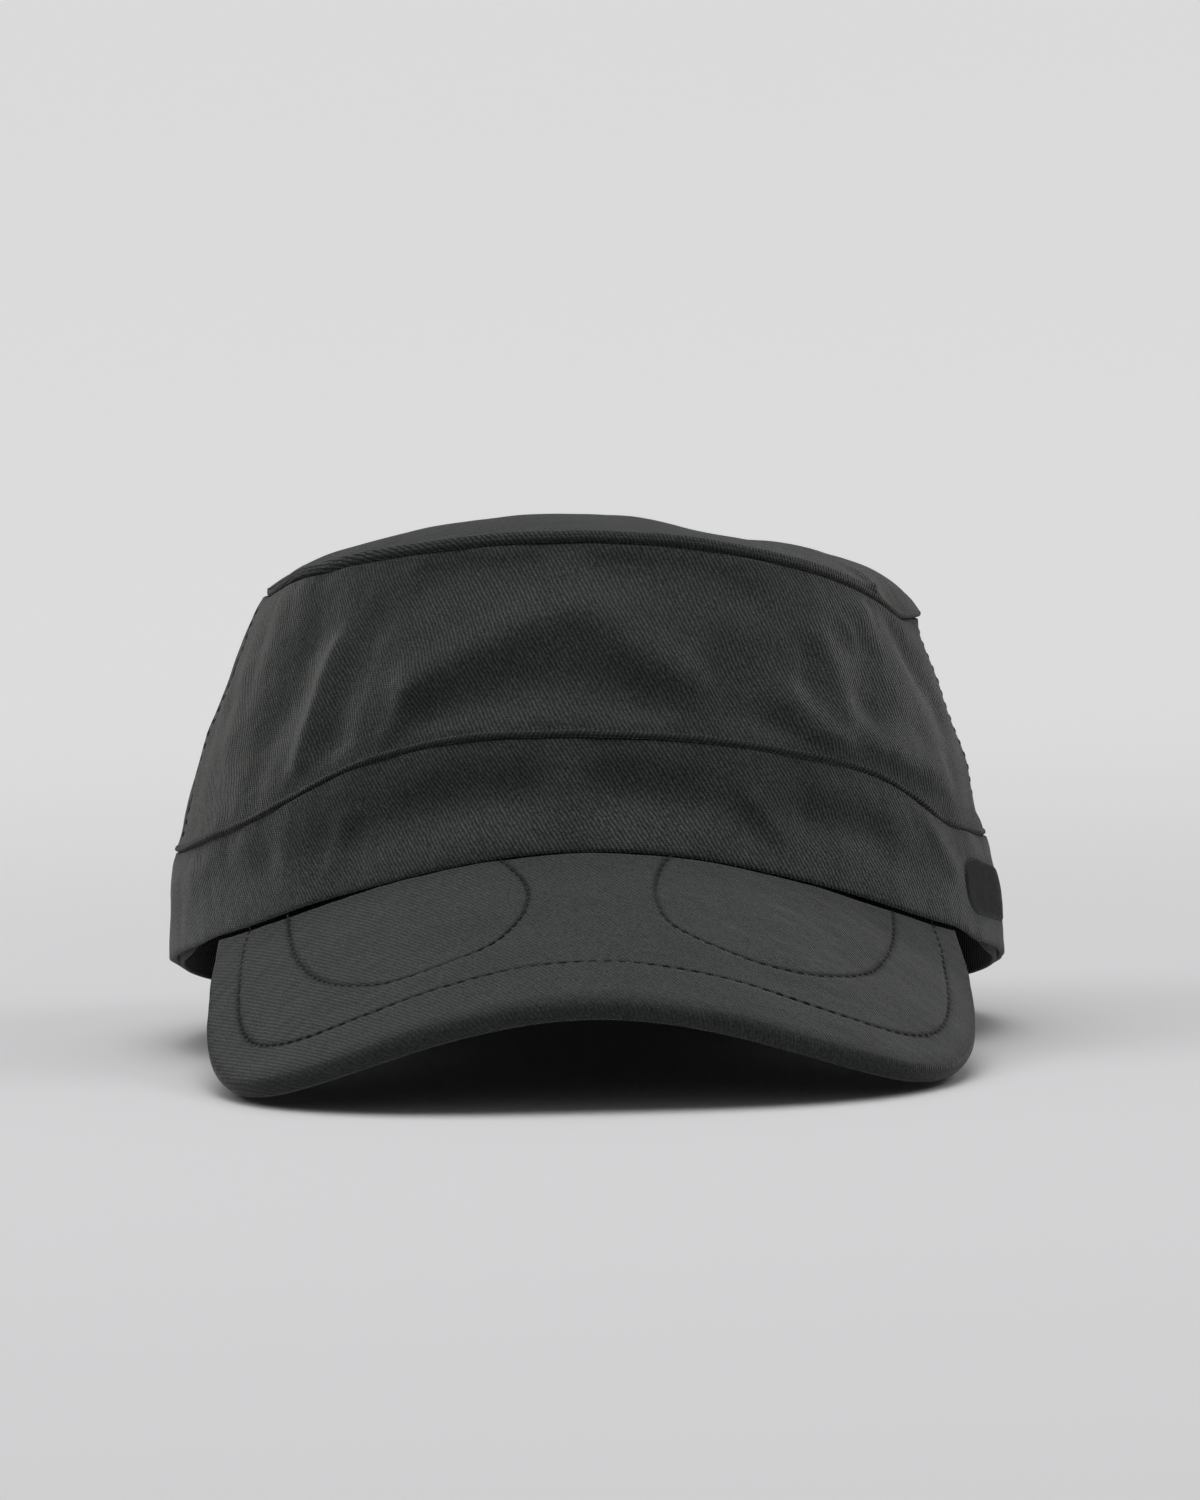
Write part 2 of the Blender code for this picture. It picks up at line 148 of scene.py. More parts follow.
# Soft folds in the band, laid out like those of the wall
BAND_FOLDS = (
    (-33, 0.38, -24, 0.46, 6.5, -2.4),
    (-17.5, 0.48, -7, 0.52, 6.5, -2.6),
    (4, 0.52, 13, 0.48, 6.5, -2.8),
    (19.5, 0.42, 22, 0.34, 6, -1.4),
    (31, 0.48, 42, 0.50, 5, -1.6),
    (-32.5, 0.58, -34.5, 0.25, 2.6, 1.2),
    (23, 0.52, 25, 0.32, 2.6, 1.0),
    (-60, 0.50, -47, 0.50, 6, -1.3),
    (54, 0.85, 58, 0.55, 4, 1.1),
    (128, 0.70, 134, 0.30, 9, 1.2),
    (-140, 0.60, -150, 0.40, 10, -1.3),
)

FOLD_ARC = math.pi * (BAND_SEAM_WIDTH + BAND_SEAM_LENGTH) / 2 / 360

# The sweatband spans these shares of the band. At each side it hangs below the rim, between these angles
SWEATBAND_HANG = 1 * MM
SWEATBAND_LOW = 0.06
SWEATBAND_HIGH = 0.7
SWEATBAND_HANG_ANGLES = (64, 76, 108, 126)

# Where rows of points lie close together: up a round edge, as shares of its width, down from a seam above,
# and up from the band's hem
EDGE_ROWS = (0.3, 0.38, 0.47, 0.56, 0.65, 0.74, 0.82, 0.89, 0.94, 0.975, 1.0, 1.05, 1.12, 1.25)
HEAD_ROWS = (1.5 * MM, 1.1 * MM, 0.85 * MM, 0.65 * MM, 0.5 * MM, 0.35 * MM, 0.2 * MM, 0.05 * MM)
HEM_ROWS = (0.7 * MM, 0.9 * MM, 1.2 * MM)

# How the visible cloth departs from its plain surface; the _SHADE and _LIGHT values are painted shade and
# painted light
WALL_TOP_RISE = 0.3 * MM
WALL_SLANT = 1.04
WALL_PULL = 0.6 * MM
TOP_EDGE = 2.2 * MM
TOP_PULL = 1.4 * MM
SEAM_SINK = 1.9 * MM
SEAM_SINK_REACH = 0.7 * MM
JOIN_SINK = 0.7 * MM
JOIN_SHADE = 0.4
HEM_LIFT = 0.9 * MM
HEM_PAINTED_LIGHT = 0.48
COARSE_WAVE = 0.16 * MM
FINE_WAVE = 0.03 * MM
EDGE_SHADE = 0.5
PEAK_EDGE_TURN = 1.8 * MM
PEAK_EDGE_SHADE = 0.35
DOME_ROWS = 64

# The crease at the +X end of the top, the hollow beyond it (angles in degrees, depth as a multiple of the
# crease's height), the painted shade beyond it, and the small hook where the seam meets the outline
CREASE_ANGLE = 57
CREASE_WIDTH = 1.6
CREASE_HEIGHT = 1.0 * MM
CREASE_SHADE = 0.4
HOLLOW_BEYOND = 13
HOLLOW_WIDTH = 8
HOLLOW_DEPTH = 1.4
HOOK_ANGLE = 84
HOOK_HEIGHT = 0.5 * MM

# The embroidered bar on the band
BAR_ANGLE = 73
BAR_SHARE = 0.49
BAR_HALF_LENGTH = 17 * MM
BAR_HALF_HEIGHT = 6 * MM
BAR_CORNER = 7.5 * MM
BAR_RAISED = 0.55 * MM
STRAND_PITCH = 0.42 * MM

# Finish of the twill: sizes of its fibres, nap, mottle and clouds, strengths of the last two, and the furrow
# along the stitches of the peak, with the painted shade that darkens it
FIBRE_SIZE = 0.28 * MM
NAP_SIZE = 2.2 * MM
NAP_DEPTH = 0.12 * MM
MOTTLE_SIZE = 0.5 * MM
MOTTLE = 3.6
CLOUD_SIZE = 16 * MM
CLOUD = 0.22
FURROW_WIDTH = 0.6 * MM
FURROW_DEPTH = 0.28 * MM
FURROW_SHADE = 0.6

# The stage: floor and light in metres, the camera's angles in degrees and its lens in millimetres
FLOOR_FLAT = 1.6
FLOOR_BOWL = 2.6
FLOOR_RISE = 0.75
FLOOR_SPOKES = 96
LIGHT_HEIGHT = 1.6
BACKDROP_GLOW = 0.55
CAMERA_PLACE = (0.0035, -1.06605, 0.1010)
CAMERA_DOWN = 2.1
CAMERA_ROLL = -1.3
CAMERA_LENS = 123.24

# Stitched loops on the peak, in plan: x and y in millimetres from the middle of the head
LOW_X_LOOP = (
    (-61.4, -60.0), (-60.9, -71.4), (-59.9, -83.0), (-57.0, -99.8), (-52.4, -113.8),
    (-46.1, -125.5), (-36.2, -134.8), (-26.7, -136.3), (-19.1, -133.6), (-14.5, -126.9),
    (-12.0, -116.3), (-12.7, -109.0), (-15.2, -101.6), (-19.6, -92.0),
)
HIGH_X_LOOP = (
    (17.6, -92.0), (15.6, -96.1), (12.6, -109.6), (12.6, -119.2), (15.3, -127.6),
    (20.5, -132.0), (29.8, -134.6), (39.2, -131.1), (49.2, -120.1), (53.5, -111.7),
    (57.1, -99.4), (59.5, -85.7), (60.4, -68.0),
)
LOOP_SHIFT = 1.1 * MM
OUTER_ROW_HALF_WIDTH = 70 * MM
OUTER_ROW_FORWARD = 77 * MM
OUTER_ROW_POWER = 3.4
OUTER_ROW_WIDEST_AT = 70 * MM
OUTER_ROW_END_AT = 55 * MM
OUTER_ROW_TURN_IN = 1.5 * MM
PEAK_STITCH_SINK = 0.10 * MM

# Two stitched rows beside each side seam, this far from it
SIDE_STITCH_OFFSETS = (-3.6 * MM, -1.9 * MM)
SIDE_STITCH_SINK = 0.26 * MM


def through(rows, column, at):
    """Reads one column of a table as a smooth curve through its rows: cubic pieces with matching slopes."""
    table = np.array(rows, float)
    places, values = table[:, 0], table[:, column]
    slopes = np.gradient(values, places)
    low = np.clip(np.searchsorted(places, at, side="right") - 1, 0, len(places) - 2)
    step = places[low + 1] - places[low]
    t = (at - places[low]) / step
    start = values[low] * (1 + 2 * t) * (1 - t) ** 2 + slopes[low] * step * t * (1 - t) ** 2
    end = values[low + 1] * t * t * (3 - 2 * t) + slopes[low + 1] * step * t * t * (t - 1)
    return start + end


def smooth_step(low, high, at):
    """Rises from 0 at low to 1 at high as three squares less two cubes of the share in between."""
    t = np.clip((at - low) / (high - low), 0, 1)
    return t * t * (3 - 2 * t)


def bump(at, middle, width):
    """A rounded bump of height 1: the bell curve of the distance from its middle over its width."""
    return np.exp(-(((at - middle) / width) ** 2))


def folds(rows, degrees, share, height):
    """Adds up the soft folds at each place: a bell curve of the distance from each fold's line."""
    total = np.zeros(np.broadcast(degrees, share).shape)
    for start, start_share, end, end_share, width, depth in rows:
        line_across = ((end - start + 180) % 360 - 180) * FOLD_ARC
        line_up = (end_share - start_share) * height
        across = ((degrees - start + 180) % 360 - 180) * FOLD_ARC
        up = (share - start_share) * height
        t = np.clip((across * line_across + up * line_up) / (line_across**2 + line_up**2), 0, 1)
        apart = np.hypot(across - t * line_across, up - t * line_up)
        total += depth * MM * bump(apart, 0, width * MM)
    return total


def soft_noise(points, size, seed):
    """Smooth unevenness: a sum of sine waves of about one size, their directions and phases from a seed."""
    draw = np.random.default_rng(seed)
    count = 20
    ways = draw.normal(size=(count, points.shape[-1]))
    ways /= np.linalg.norm(ways, axis=1, keepdims=True)
    waves = ways * (2 * math.pi / size * draw.uniform(0.7, 1.4, (count, 1)))
    phases = draw.uniform(0, 2 * math.pi, count)
    return np.sin(points @ waves.T + phases).sum(axis=-1) * math.sqrt(2 / count)


def puckers(run, apart, reach, seed):
    """Small gathers along a seam: waves of 4 to 9 mm along it, dying away with the distance from it."""
    waves = soft_noise(np.stack([run, apart * 0.2], axis=-1), 7 * MM, seed)
    return waves * np.exp(-np.abs(apart) / reach)


def around(degrees, width, length, shift, outward):
    """x and y on an oval round the head: its half sizes plus an outward distance, times sine and cosine."""
    turn = np.radians(degrees)
    x = shift + (width / 2 + outward) * np.sin(turn)
    y = HEAD_Y - (length / 2 + outward) * np.cos(turn)
    return x, y


def oval_points(degrees, heights, width, length, shift, outward):
    """Points on an oval round the head, at heights."""
    x, y = around(degrees, width, length, shift, outward)
    return np.stack([x, y, np.broadcast_to(heights, x.shape)], axis=-1)


def seam_share(degrees, column):
    """Reads a seam's height share, from one column on the -X side and the next on the +X side."""
    low_x = through(SEAM_HEIGHTS, column, np.abs(degrees))
    high_x = through(SEAM_HEIGHTS, column + 1, np.abs(degrees))
    return np.where(degrees < 0, low_x, high_x)


def band_seam_height(degrees):
    """Height of the crown wall's lower edge."""
    return BAND_SEAM_FRONT_HEIGHT * seam_share(degrees, 1)


def top_seam_height(degrees):
    """Height of the top panel's lower edge."""
    return TOP_SEAM_FRONT_HEIGHT * seam_share(degrees, 3)


def peak_height(x, y):
    """Height of the peak's upper face: a straight slope forward, less the square of x over twice the bend."""
    behind_root = y - HEAD_Y + RIM_LENGTH / 2
    lean = LEAN * x * smooth_step(-LEAN_FADE, LEAN_FADE, behind_root)
    return PEAK_ROOT_HEIGHT + PEAK_SLOPE * behind_root - (x - PEAK_SHIFT) ** 2 / (2 * PEAK_BEND_RADIUS) - lean


def rim_height(degrees, lifted=False):
    """Height of the rim: flat where the cap rests, tilted round the sides, just over the peak in front.
    The band's own hem lifts a little off the peak on both sides of its middle."""
    x, y = around(degrees, RIM_WIDTH, RIM_LENGTH, 0, 0)
    backward = (y - HEAD_Y) / (RIM_LENGTH / 2)
    tilted = RIM_SIDE_HEIGHT - (RIM_SIDE_HEIGHT + RIM_BACK_SINK) * backward
    on_surface = np.maximum(tilted - LEAN * x, 0)
    on_peak = 1 - smooth_step(PEAK_ROOT_ANGLE, PEAK_ROOT_ANGLE + RIM_BLEND, np.abs(degrees))
    lift = HEM_LIFT * smooth_step(22, 42, np.abs(degrees)) if lifted else 0
    return on_surface + on_peak * (peak_height(x, y) + GAP + lift - on_surface)


def unit(vectors):
    """Each vector over its own length."""
    return vectors / np.maximum(np.linalg.norm(vectors, axis=-1, keepdims=True), 1e-12)


def slopes_of(points, closed):
    """Differences along the columns and the rows of a grid of points, joined round if it is closed."""
    if closed:
        across = (np.roll(points, -1, axis=1) - np.roll(points, 1, axis=1)) / 2
    else:
        across = np.gradient(points, axis=1)
    return across, np.gradient(points, axis=0)


def rows_between(low, high, foot, head, count):
    """Heights of rows from low to high: set distances above low, an even run, set distances below high."""
    foot = np.array(foot)[:, None]
    head = np.array(head)[:, None]
    start = low + foot[-1]
    end = high - head[0]
    even = start + np.linspace(0, 1, count + 2)[1:-1, None] * (end - start)
    return np.concatenate([low + foot, even, high - head])


def arc_lengths(points):
    """Distance along each row of points, measured from its middle column."""
    steps = np.linalg.norm(np.diff(points, axis=1), axis=-1)
    run = np.concatenate([np.zeros((len(points), 1)), np.cumsum(steps, axis=1)], axis=1)
    return run - run[:, run.shape[1] // 2][:, None]


def wrap(outer, base, flat, painted_shading, thickness, closed, thin=4, turn_rows=4, edge=None, pole=False):
    """Wraps a sheet into a closed skin. Going round it: the outer face, half an ellipse over its last row,
    the base face moved inward by the thickness (every few rows of it), and half an ellipse under its first
    row. The flat map runs on along each half ellipse by its length. A sheet that ends in a pole has no half
    ellipse there: it goes from the inner pole out to the edge and back to the outer pole."""
    across, up = slopes_of(base, closed)
    normal = unit(np.cross(across, up))
    inner = base - thickness * normal
    kept = sorted({*range(0, len(base), thin), len(base) - 1}, reverse=True)
    angles = np.linspace(0, math.pi, turn_rows + 2)[1:-1, None, None]
    reach = thickness / 2 if edge is None else edge

    def half_ellipse(row, way, order):
        middle = (outer[row] + inner[row]) / 2
        half = (outer[row] - inner[row]) / 2
        along = unit(way - (way * unit(half)).sum(axis=-1, keepdims=True) * unit(half))
        turned = angles[::order]
        return middle + np.cos(turned) * half + np.sin(turned) * along * reach

    def flat_beyond(row, before, order):
        onward = unit(flat[row] - flat[before])
        return flat[row] + angles[::order] * onward * reach

    points = np.concatenate([outer, half_ellipse(-1, up[-1], 1), inner[kept], half_ellipse(0, -up[0], -1)])
    columns = points.shape[1]
    maps = np.concatenate([flat, flat_beyond(-1, -2, 1), flat[kept], flat_beyond(0, 1, -1)])
    edge_painted_shadings = np.repeat(painted_shading[-1:], turn_rows, axis=0), np.repeat(painted_shading[:1], turn_rows, axis=0)
    painted_shadings = np.concatenate([painted_shading, edge_painted_shadings[0], painted_shading[kept], edge_painted_shadings[1]])[:, :columns]
    if pole:
        first = len(outer) + turn_rows
        order = [*range(first, len(points)), *range(len(outer))]
        return points[order], maps[order], painted_shadings[order]
    return points, maps, painted_shadings


def skin_faces(rows, columns, closed, pole):
    """Rows and columns of the corners of a skin's four-sided faces. The last row joins the first, but not
    at a pole."""
    row = np.arange(rows - 1 if pole else rows)[:, None]
    column = np.arange(columns if closed else columns - 1)[None]
    row, column = np.broadcast_arrays(row, column)
    after = (row + 1) % rows
    corner_rows = np.stack([row, row, after, after], axis=-1).reshape(-1, 4)
    corner_columns = np.stack([column, column + 1, column + 1, column], axis=-1).reshape(-1, 4)
    return corner_rows, corner_columns


def give_values(mesh, title, values):
    """Gives a mesh one value at each of its points, under a title."""
    attribute = mesh.attributes.new(title, "FLOAT", "POINT")
    attribute.data.foreach_set("value", values.astype(np.float32).ravel())


def cloth_object(name, points, maps, painted_shadings, closed, node, slot, look, pole=False):
    """Makes the mesh object of one wrapped sheet, with its flat map and its painted light and shade, and
    rides it on the cap.
    An open sheet gets a cap over each end, and a sheet with poles gets one over each pole."""
    rows, columns = points.shape[:2]
    corner_rows, corner_columns = skin_faces(rows, columns, closed, pole)
    numbers = (corner_rows * columns + corner_columns % columns).ravel()
    flat = maps[corner_rows.ravel(), np.minimum(corner_columns.ravel(), maps.shape[1] - 1)]
    starts = np.arange(len(corner_rows)) * 4
    if not closed:
        first_end = np.arange(rows) * columns
        last_end = first_end[::-1] + columns - 1
        starts = np.concatenate([starts, [len(numbers), len(numbers) + rows]])
        numbers = np.concatenate([numbers, first_end, last_end])
        flat = np.concatenate([flat, maps[:, 0], maps[::-1, columns - 1]])
    if pole:
        inner_ring = np.arange(columns)[::-1]
        outer_ring = (rows - 1) * columns + np.arange(columns)
        starts = np.concatenate([starts, [len(numbers), len(numbers) + columns]])
        numbers = np.concatenate([numbers, inner_ring, outer_ring])
        flat = np.concatenate([flat, maps[0, inner_ring], maps[-1, :columns]])
    mesh = bpy.data.meshes.new(name)
    mesh.vertices.add(rows * columns)
    mesh.vertices.foreach_set("co", points.astype(np.float32).ravel())
    mesh.loops.add(len(numbers))
    mesh.loops.foreach_set("vertex_index", numbers.astype(np.int32))
    mesh.polygons.add(len(starts))
    mesh.polygons.foreach_set("loop_start", starts.astype(np.int32))
    mesh.polygons.foreach_set("use_smooth", np.ones(len(starts), bool))
    layer = mesh.uv_layers.new(name="weave")
    layer.data.foreach_set("uv", flat.astype(np.float32).ravel())
    give_values(mesh, "painted_shading", painted_shadings)
    mesh.update(calc_edges=True)
    if mesh.validate():
        raise RuntimeError(f"{name} has faces that don't close")
    mesh.materials.append(look)
    made = bpy.data.objects.new(name, mesh)
    bpy.context.scene.collection.objects.link(made)
    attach(made, "root")
    if node:
        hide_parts(node)
    return made


def roll(distance, width, height):
    """A raised round edge: half an ellipse over the distance from the edge, and nothing beyond its width."""
    across = (distance - width / 2) / (width / 2)
    return height * np.sqrt(np.clip(1 - across**2, 0, 1))


def wall_points(degrees, heights, cap):
    """Base and outer points of the crown wall, and its painted light and shade, at angles and heights.
    Base: an oval that narrows with height, plus the swell and the folds.
    Outer: base plus the round edge, the gathers and the unevenness, sunk along the top seam and the side
    seams. Painted shade darkens the round edge, the seams and towards -X; painted light brightens low in
    front and just above the round edge."""
    low = band_seam_height(degrees)
    high = top_seam_height(degrees) + WALL_TOP_RISE
    share = (heights - low) / (high - low)
    above = heights - low
    below = high - heights
    inside = smooth_step(0.03, 0.16, share) - smooth_step(0.88, 1.0, share)
    folded = cap.fold_depth * inside * folds(WALL_FOLDS, degrees, share, high - low)
    swell = through(WALL_SWELL, 1, share) + folded
    width = BAND_SEAM_WIDTH + share * (TOP_SEAM_WIDTH - BAND_SEAM_WIDTH)
    length = BAND_SEAM_LENGTH + share * (TOP_SEAM_LENGTH - BAND_SEAM_LENGTH)
    shift = BAND_SEAM_SHIFT + share * (TOP_SEAM_SHIFT - BAND_SEAM_SHIFT)
    base = oval_points(degrees, heights, width, length, shift, swell)
    run = degrees * FOLD_ARC + 0 * heights
    beside = (np.abs(degrees) - SIDE_SEAM_ANGLE) * FOLD_ARC + 0 * heights
    low_gathers = puckers(run, above, 5 * MM, 11) * smooth_step(1.6 * MM, 4 * MM, above)
    high_gathers = puckers(run, below, 5 * MM, 12) * smooth_step(0.8 * MM, 3 * MM, below)
    side_gathers = puckers(heights + 0 * run, beside, 4 * MM, 13)
    relief = roll(above, cap.welt_width, cap.welt_height)
    relief += (low_gathers + high_gathers + side_gathers) * cap.pucker_depth
    relief += soft_noise(base, 16 * MM, 14) * COARSE_WAVE + soft_noise(base, 6 * MM, 15) * FINE_WAVE
    relief -= SEAM_SINK * (1 - smooth_step(0, SEAM_SINK_REACH, below))
    relief -= WALL_PULL * bump(degrees, -88, 24) * (1 - smooth_step(0.5 * MM, 5 * MM, below))
    relief -= JOIN_SINK * bump(beside, 0, 0.8 * MM)
    # Painted shade on the round edge, and a painted highlight just above it
    painted_shading = -EDGE_SHADE * bump(above, 0.45 * cap.welt_width, 0.55 * cap.welt_width)
    painted_shading += 0.15 * bump(above, 1.2 * cap.welt_width, 0.3 * MM)
    # Painted light low on the front, and painted shade towards the -X side
    painted_shading += 0.12 * (1 - smooth_step(0.1, 0.7, share)) * bump(degrees, 0, 45)
    painted_shading -= 0.25 * bump(degrees, -90, 45)
    # Painted shade just under the top seam and in the side seams
    painted_shading -= 0.8 * (1 - smooth_step(0.1 * MM, 0.6 * MM, below)) + JOIN_SHADE * bump(beside, 0, 0.5 * MM)
    outer = oval_points(degrees, heights, width, length, shift, swell + relief)
    return base, outer, painted_shading


def crown_wall(name, node, degrees, count, cap, look):
    """One crown wall panel: its rows lie close together at the round edge and under the top seam."""
    degrees = np.where(degrees > 180, degrees - 360, degrees)
    low = band_seam_height(degrees)
    high = top_seam_height(degrees) + WALL_TOP_RISE
    foot = cap.welt_width * np.array(EDGE_ROWS)
    heights = rows_between(low, high, foot, HEAD_ROWS, count)
    base, outer, painted_shading = wall_points(degrees, heights, cap)
    turned_up = 2 * np.maximum(cap.welt_width - (heights - low), 0)
    flat = np.stack([arc_lengths(base), heights * WALL_SLANT + turned_up], axis=-1)
    skin = wrap(outer, base, flat, painted_shading, CLOTH, False, edge=foot[0])
    cloth_object(name, *skin, False, node, "cap_cloth", look)


def band_points(degrees, heights, cap, inset):
    """Base and outer points of the band, and its painted light and shade, at angles and heights, moved inward
    by an inset.
    Base: an oval that narrows from the hem to the seam, plus the swell and the folds.
    Outer: base plus gathers and unevenness, sunk where it passes under the crown wall and at the back join.
    Painted shade darkens both seams, and painted light brightens it towards the hem."""
    rim = rim_height(degrees, lifted=not inset)
    seam = band_seam_height(degrees)
    up = np.clip(((heights - rim) / (seam - rim) - 0.07) / 0.93, 0, 1)
    above = heights - rim
    below = seam - heights
    folded = cap.fold_depth * (1 - up**4) * folds(BAND_FOLDS, degrees, up, seam - rim)
    swell = through(BAND_SWELL, 1, up) + folded
    width = RIM_WIDTH + up * (BAND_SEAM_WIDTH - RIM_WIDTH)
    length = RIM_LENGTH + up * (BAND_SEAM_LENGTH - RIM_LENGTH)
    shift = up * BAND_SEAM_SHIFT
    base = oval_points(degrees, heights, width, length, shift, swell - inset)
    run = degrees * FOLD_ARC + 0 * heights
    behind = (180 - np.abs(degrees)) * FOLD_ARC + 0 * heights
    relief = puckers(run, below, 5 * MM, 21) * cap.pucker_depth * smooth_step(0.6 * MM, 3 * MM, below)
    relief += puckers(run, above, 4 * MM, 22) * cap.pucker_depth * 0.7
    relief += soft_noise(base, 15 * MM, 23) * COARSE_WAVE + soft_noise(base, 6 * MM, 24) * FINE_WAVE
    relief *= 1 - bump(behind, 0, 3 * MM)
    under = (SEAM_SINK + 0.3 * np.maximum(-below, 0)) * (1 - smooth_step(-0.5 * MM, 0.5 * MM, below))
    relief -= under + 0.6 * MM * bump(behind, 0, 0.7 * MM)
    # Painted shade just under the crown wall and in the back join
    painted_shading = -0.85 * (1 - smooth_step(0.05 * MM, 0.55 * MM, below)) - JOIN_SHADE * bump(behind, 0, 0.5 * MM)
    # Painted light towards the hem
    painted_shading += HEM_PAINTED_LIGHT * (1 - smooth_step(3 * MM, 20 * MM, above))
    if inset:
        relief *= 0
    outer = oval_points(degrees, heights, width, length, shift, swell - inset + relief)
    return base, outer, painted_shading


def full_turn(columns):
    """Angles from -180 to 180 degrees, both ends in."""
    return np.linspace(-180, 180, columns + 1)


def top_base(degrees, rise):
    """The top panel's plain surface: rows up its turned-down edge, and then in over the dome. There, at each
    share of the radius, the height is the middle's, plus the tilt times the share, plus the sag times a
    power of the share."""
    low = top_seam_height(degrees)
    turn = np.radians(degrees)
    lip = oval_points(degrees + 0 * rise, low + rise, TOP_SEAM_WIDTH, TOP_SEAM_LENGTH, TOP_SEAM_SHIFT, 0)
    front, high_x, back, low_x = top_seam_height(np.array([0, 90, 180, -90]))
    fall = SHOULDER_FALL * smooth_step(0, SHOULDER_FALL_BY, np.sin(turn))
    tilt = (front - back) / 2 * np.cos(turn) + (high_x - low_x) / 2 * np.sin(turn) - fall
    shoulder = smooth_step(SHOULDER_ROUND_FROM, 1, np.sin(turn)) * (1 - np.clip(np.cos(turn), 0, 1))
    roundness = TOP_ROUNDNESS + (SHOULDER_ROUNDNESS - TOP_ROUNDNESS) * shoulder
    radius = np.concatenate([[0.997, 0.992], np.linspace(0.985, 0.02, DOME_ROWS), [0.006]])[:, None]
    sag = low + TOP_EDGE - TOP_CENTRE_HEIGHT - tilt
    height = TOP_CENTRE_HEIGHT + radius * tilt + sag * radius**roundness
    width, length = radius * TOP_SEAM_WIDTH, radius * TOP_SEAM_LENGTH
    dome = oval_points(degrees + 0 * radius, height, width, length, TOP_SEAM_SHIFT, 0)
    return np.concatenate([lip, dome])


def polar_map(base, row):
    """A dome's flat map: the bearing of each column at one row, by the distance over the cloth to the middle.
    That distance comes back too."""
    steps = np.linalg.norm(np.diff(base, axis=0), axis=-1)
    over = np.concatenate([np.cumsum(steps[::-1], axis=0)[::-1], np.zeros((1, base.shape[1]))])
    bearing = np.arctan2(base[row, :, 0] - TOP_SEAM_SHIFT, HEAD_Y - base[row, :, 1])
    return np.stack([over * np.sin(bearing), -over * np.cos(bearing)], axis=-1), over


def top_points(degrees, cap):
    """Base and outer points of the top panel, its painted light and shade, and its flat map.
    Outer: base plus the round edge, the crease and the hook at +X, the gathers and the unevenness, and pulled
    in at the edge at -X. Painted shade darkens the round edge and beyond the crease, and a painted highlight
    runs just inside the round edge."""
    edge = cap.welt_width * np.array(EDGE_ROWS)
    edge = edge[edge < TOP_EDGE]
    base = top_base(degrees, edge[:, None])
    normal = unit(np.cross(*slopes_of(base[:, :-1], True)))
    normal = np.concatenate([normal, normal[:, :1]], axis=1)
    flat, over = polar_map(base, len(edge))
    from_edge = over[0] - over
    run = degrees * FOLD_ARC + 0 * from_edge
    seamless = 1 - bump(np.abs(run), 180 * FOLD_ARC, 4 * MM)
    crease = bump(degrees, CREASE_ANGLE, CREASE_WIDTH)
    crease -= HOLLOW_DEPTH * bump(degrees, CREASE_ANGLE + HOLLOW_BEYOND, HOLLOW_WIDTH)
    creased = (1 - smooth_step(4 * MM, 13 * MM, from_edge)) * smooth_step(0.5 * MM, 2 * MM, from_edge)
    at_edge = 1 - smooth_step(1 * MM, 9 * MM, from_edge)
    at_lip = 1 - smooth_step(0.8 * MM, 2 * MM, from_edge)
    gathers = puckers(run, from_edge, 6 * MM, 31) * smooth_step(1.6 * MM, 4 * MM, from_edge) * seamless
    waves = soft_noise(base, 22 * MM, 32) * 0.12 * MM + soft_noise(base, 7 * MM, 33) * FINE_WAVE
    relief = roll(from_edge + edge[0], cap.welt_width, 0.7 * cap.welt_height)
    relief += CREASE_HEIGHT * crease * creased + HOOK_HEIGHT * bump(degrees, HOOK_ANGLE, 9) * at_lip
    relief -= TOP_PULL * bump(degrees, -90, 26) * at_edge
    relief += gathers * cap.pucker_depth + waves * smooth_step(0, 6 * MM, from_edge)
    # Painted shade beyond the crease (this mask) and on the round edge, with a painted highlight just inside
    # it
    beyond = smooth_step(CREASE_ANGLE + 1, CREASE_ANGLE + 5, degrees) * (1 - smooth_step(86, 98, degrees))
    painted_shading = -EDGE_SHADE * bump(from_edge, 0.15 * cap.welt_width, 0.55 * cap.welt_width)
    painted_shading += 0.2 * bump(from_edge, 0.95 * cap.welt_width, 0.3 * MM) - CREASE_SHADE * beyond * creased
    return base, base + relief[..., None] * normal, painted_shading, flat


def plan_path(rows):
    """A stitched row in plan: the smooth curve through a table of points, spaced evenly along it."""
    table = np.array(rows, float) * MM + (LOOP_SHIFT, HEAD_Y)
    steps = np.hypot(*np.diff(table, axis=0).T)
    places = np.concatenate([[0], np.cumsum(steps)])
    numbered = np.column_stack([places, table])
    at = np.linspace(0, places[-1], 500)
    return np.column_stack([through(numbered, 1, at), through(numbered, 2, at)])


def outer_row():
    """The long stitched row of the peak: powers of sine and cosine inside its edge, then straight back."""
    turn = np.linspace(-math.pi / 2, math.pi / 2, 900)
    power = 2 / OUTER_ROW_POWER
    x = OUTER_ROW_HALF_WIDTH * np.sign(turn) * np.abs(np.sin(turn)) ** power
    y = -OUTER_ROW_WIDEST_AT - OUTER_ROW_FORWARD * np.maximum(np.cos(turn), 0) ** power
    end = OUTER_ROW_HALF_WIDTH - OUTER_ROW_TURN_IN
    x = np.concatenate([[-end], x, [end]])
    y = np.concatenate([[-OUTER_ROW_END_AT], y, [-OUTER_ROW_END_AT]])
    return np.column_stack([x + LOOP_SHIFT, y + HEAD_Y])


def stitched_rows():
    """The three stitched rows of the peak, in plan."""
    return outer_row(), plan_path(LOW_X_LOOP), plan_path(HIGH_X_LOOP)


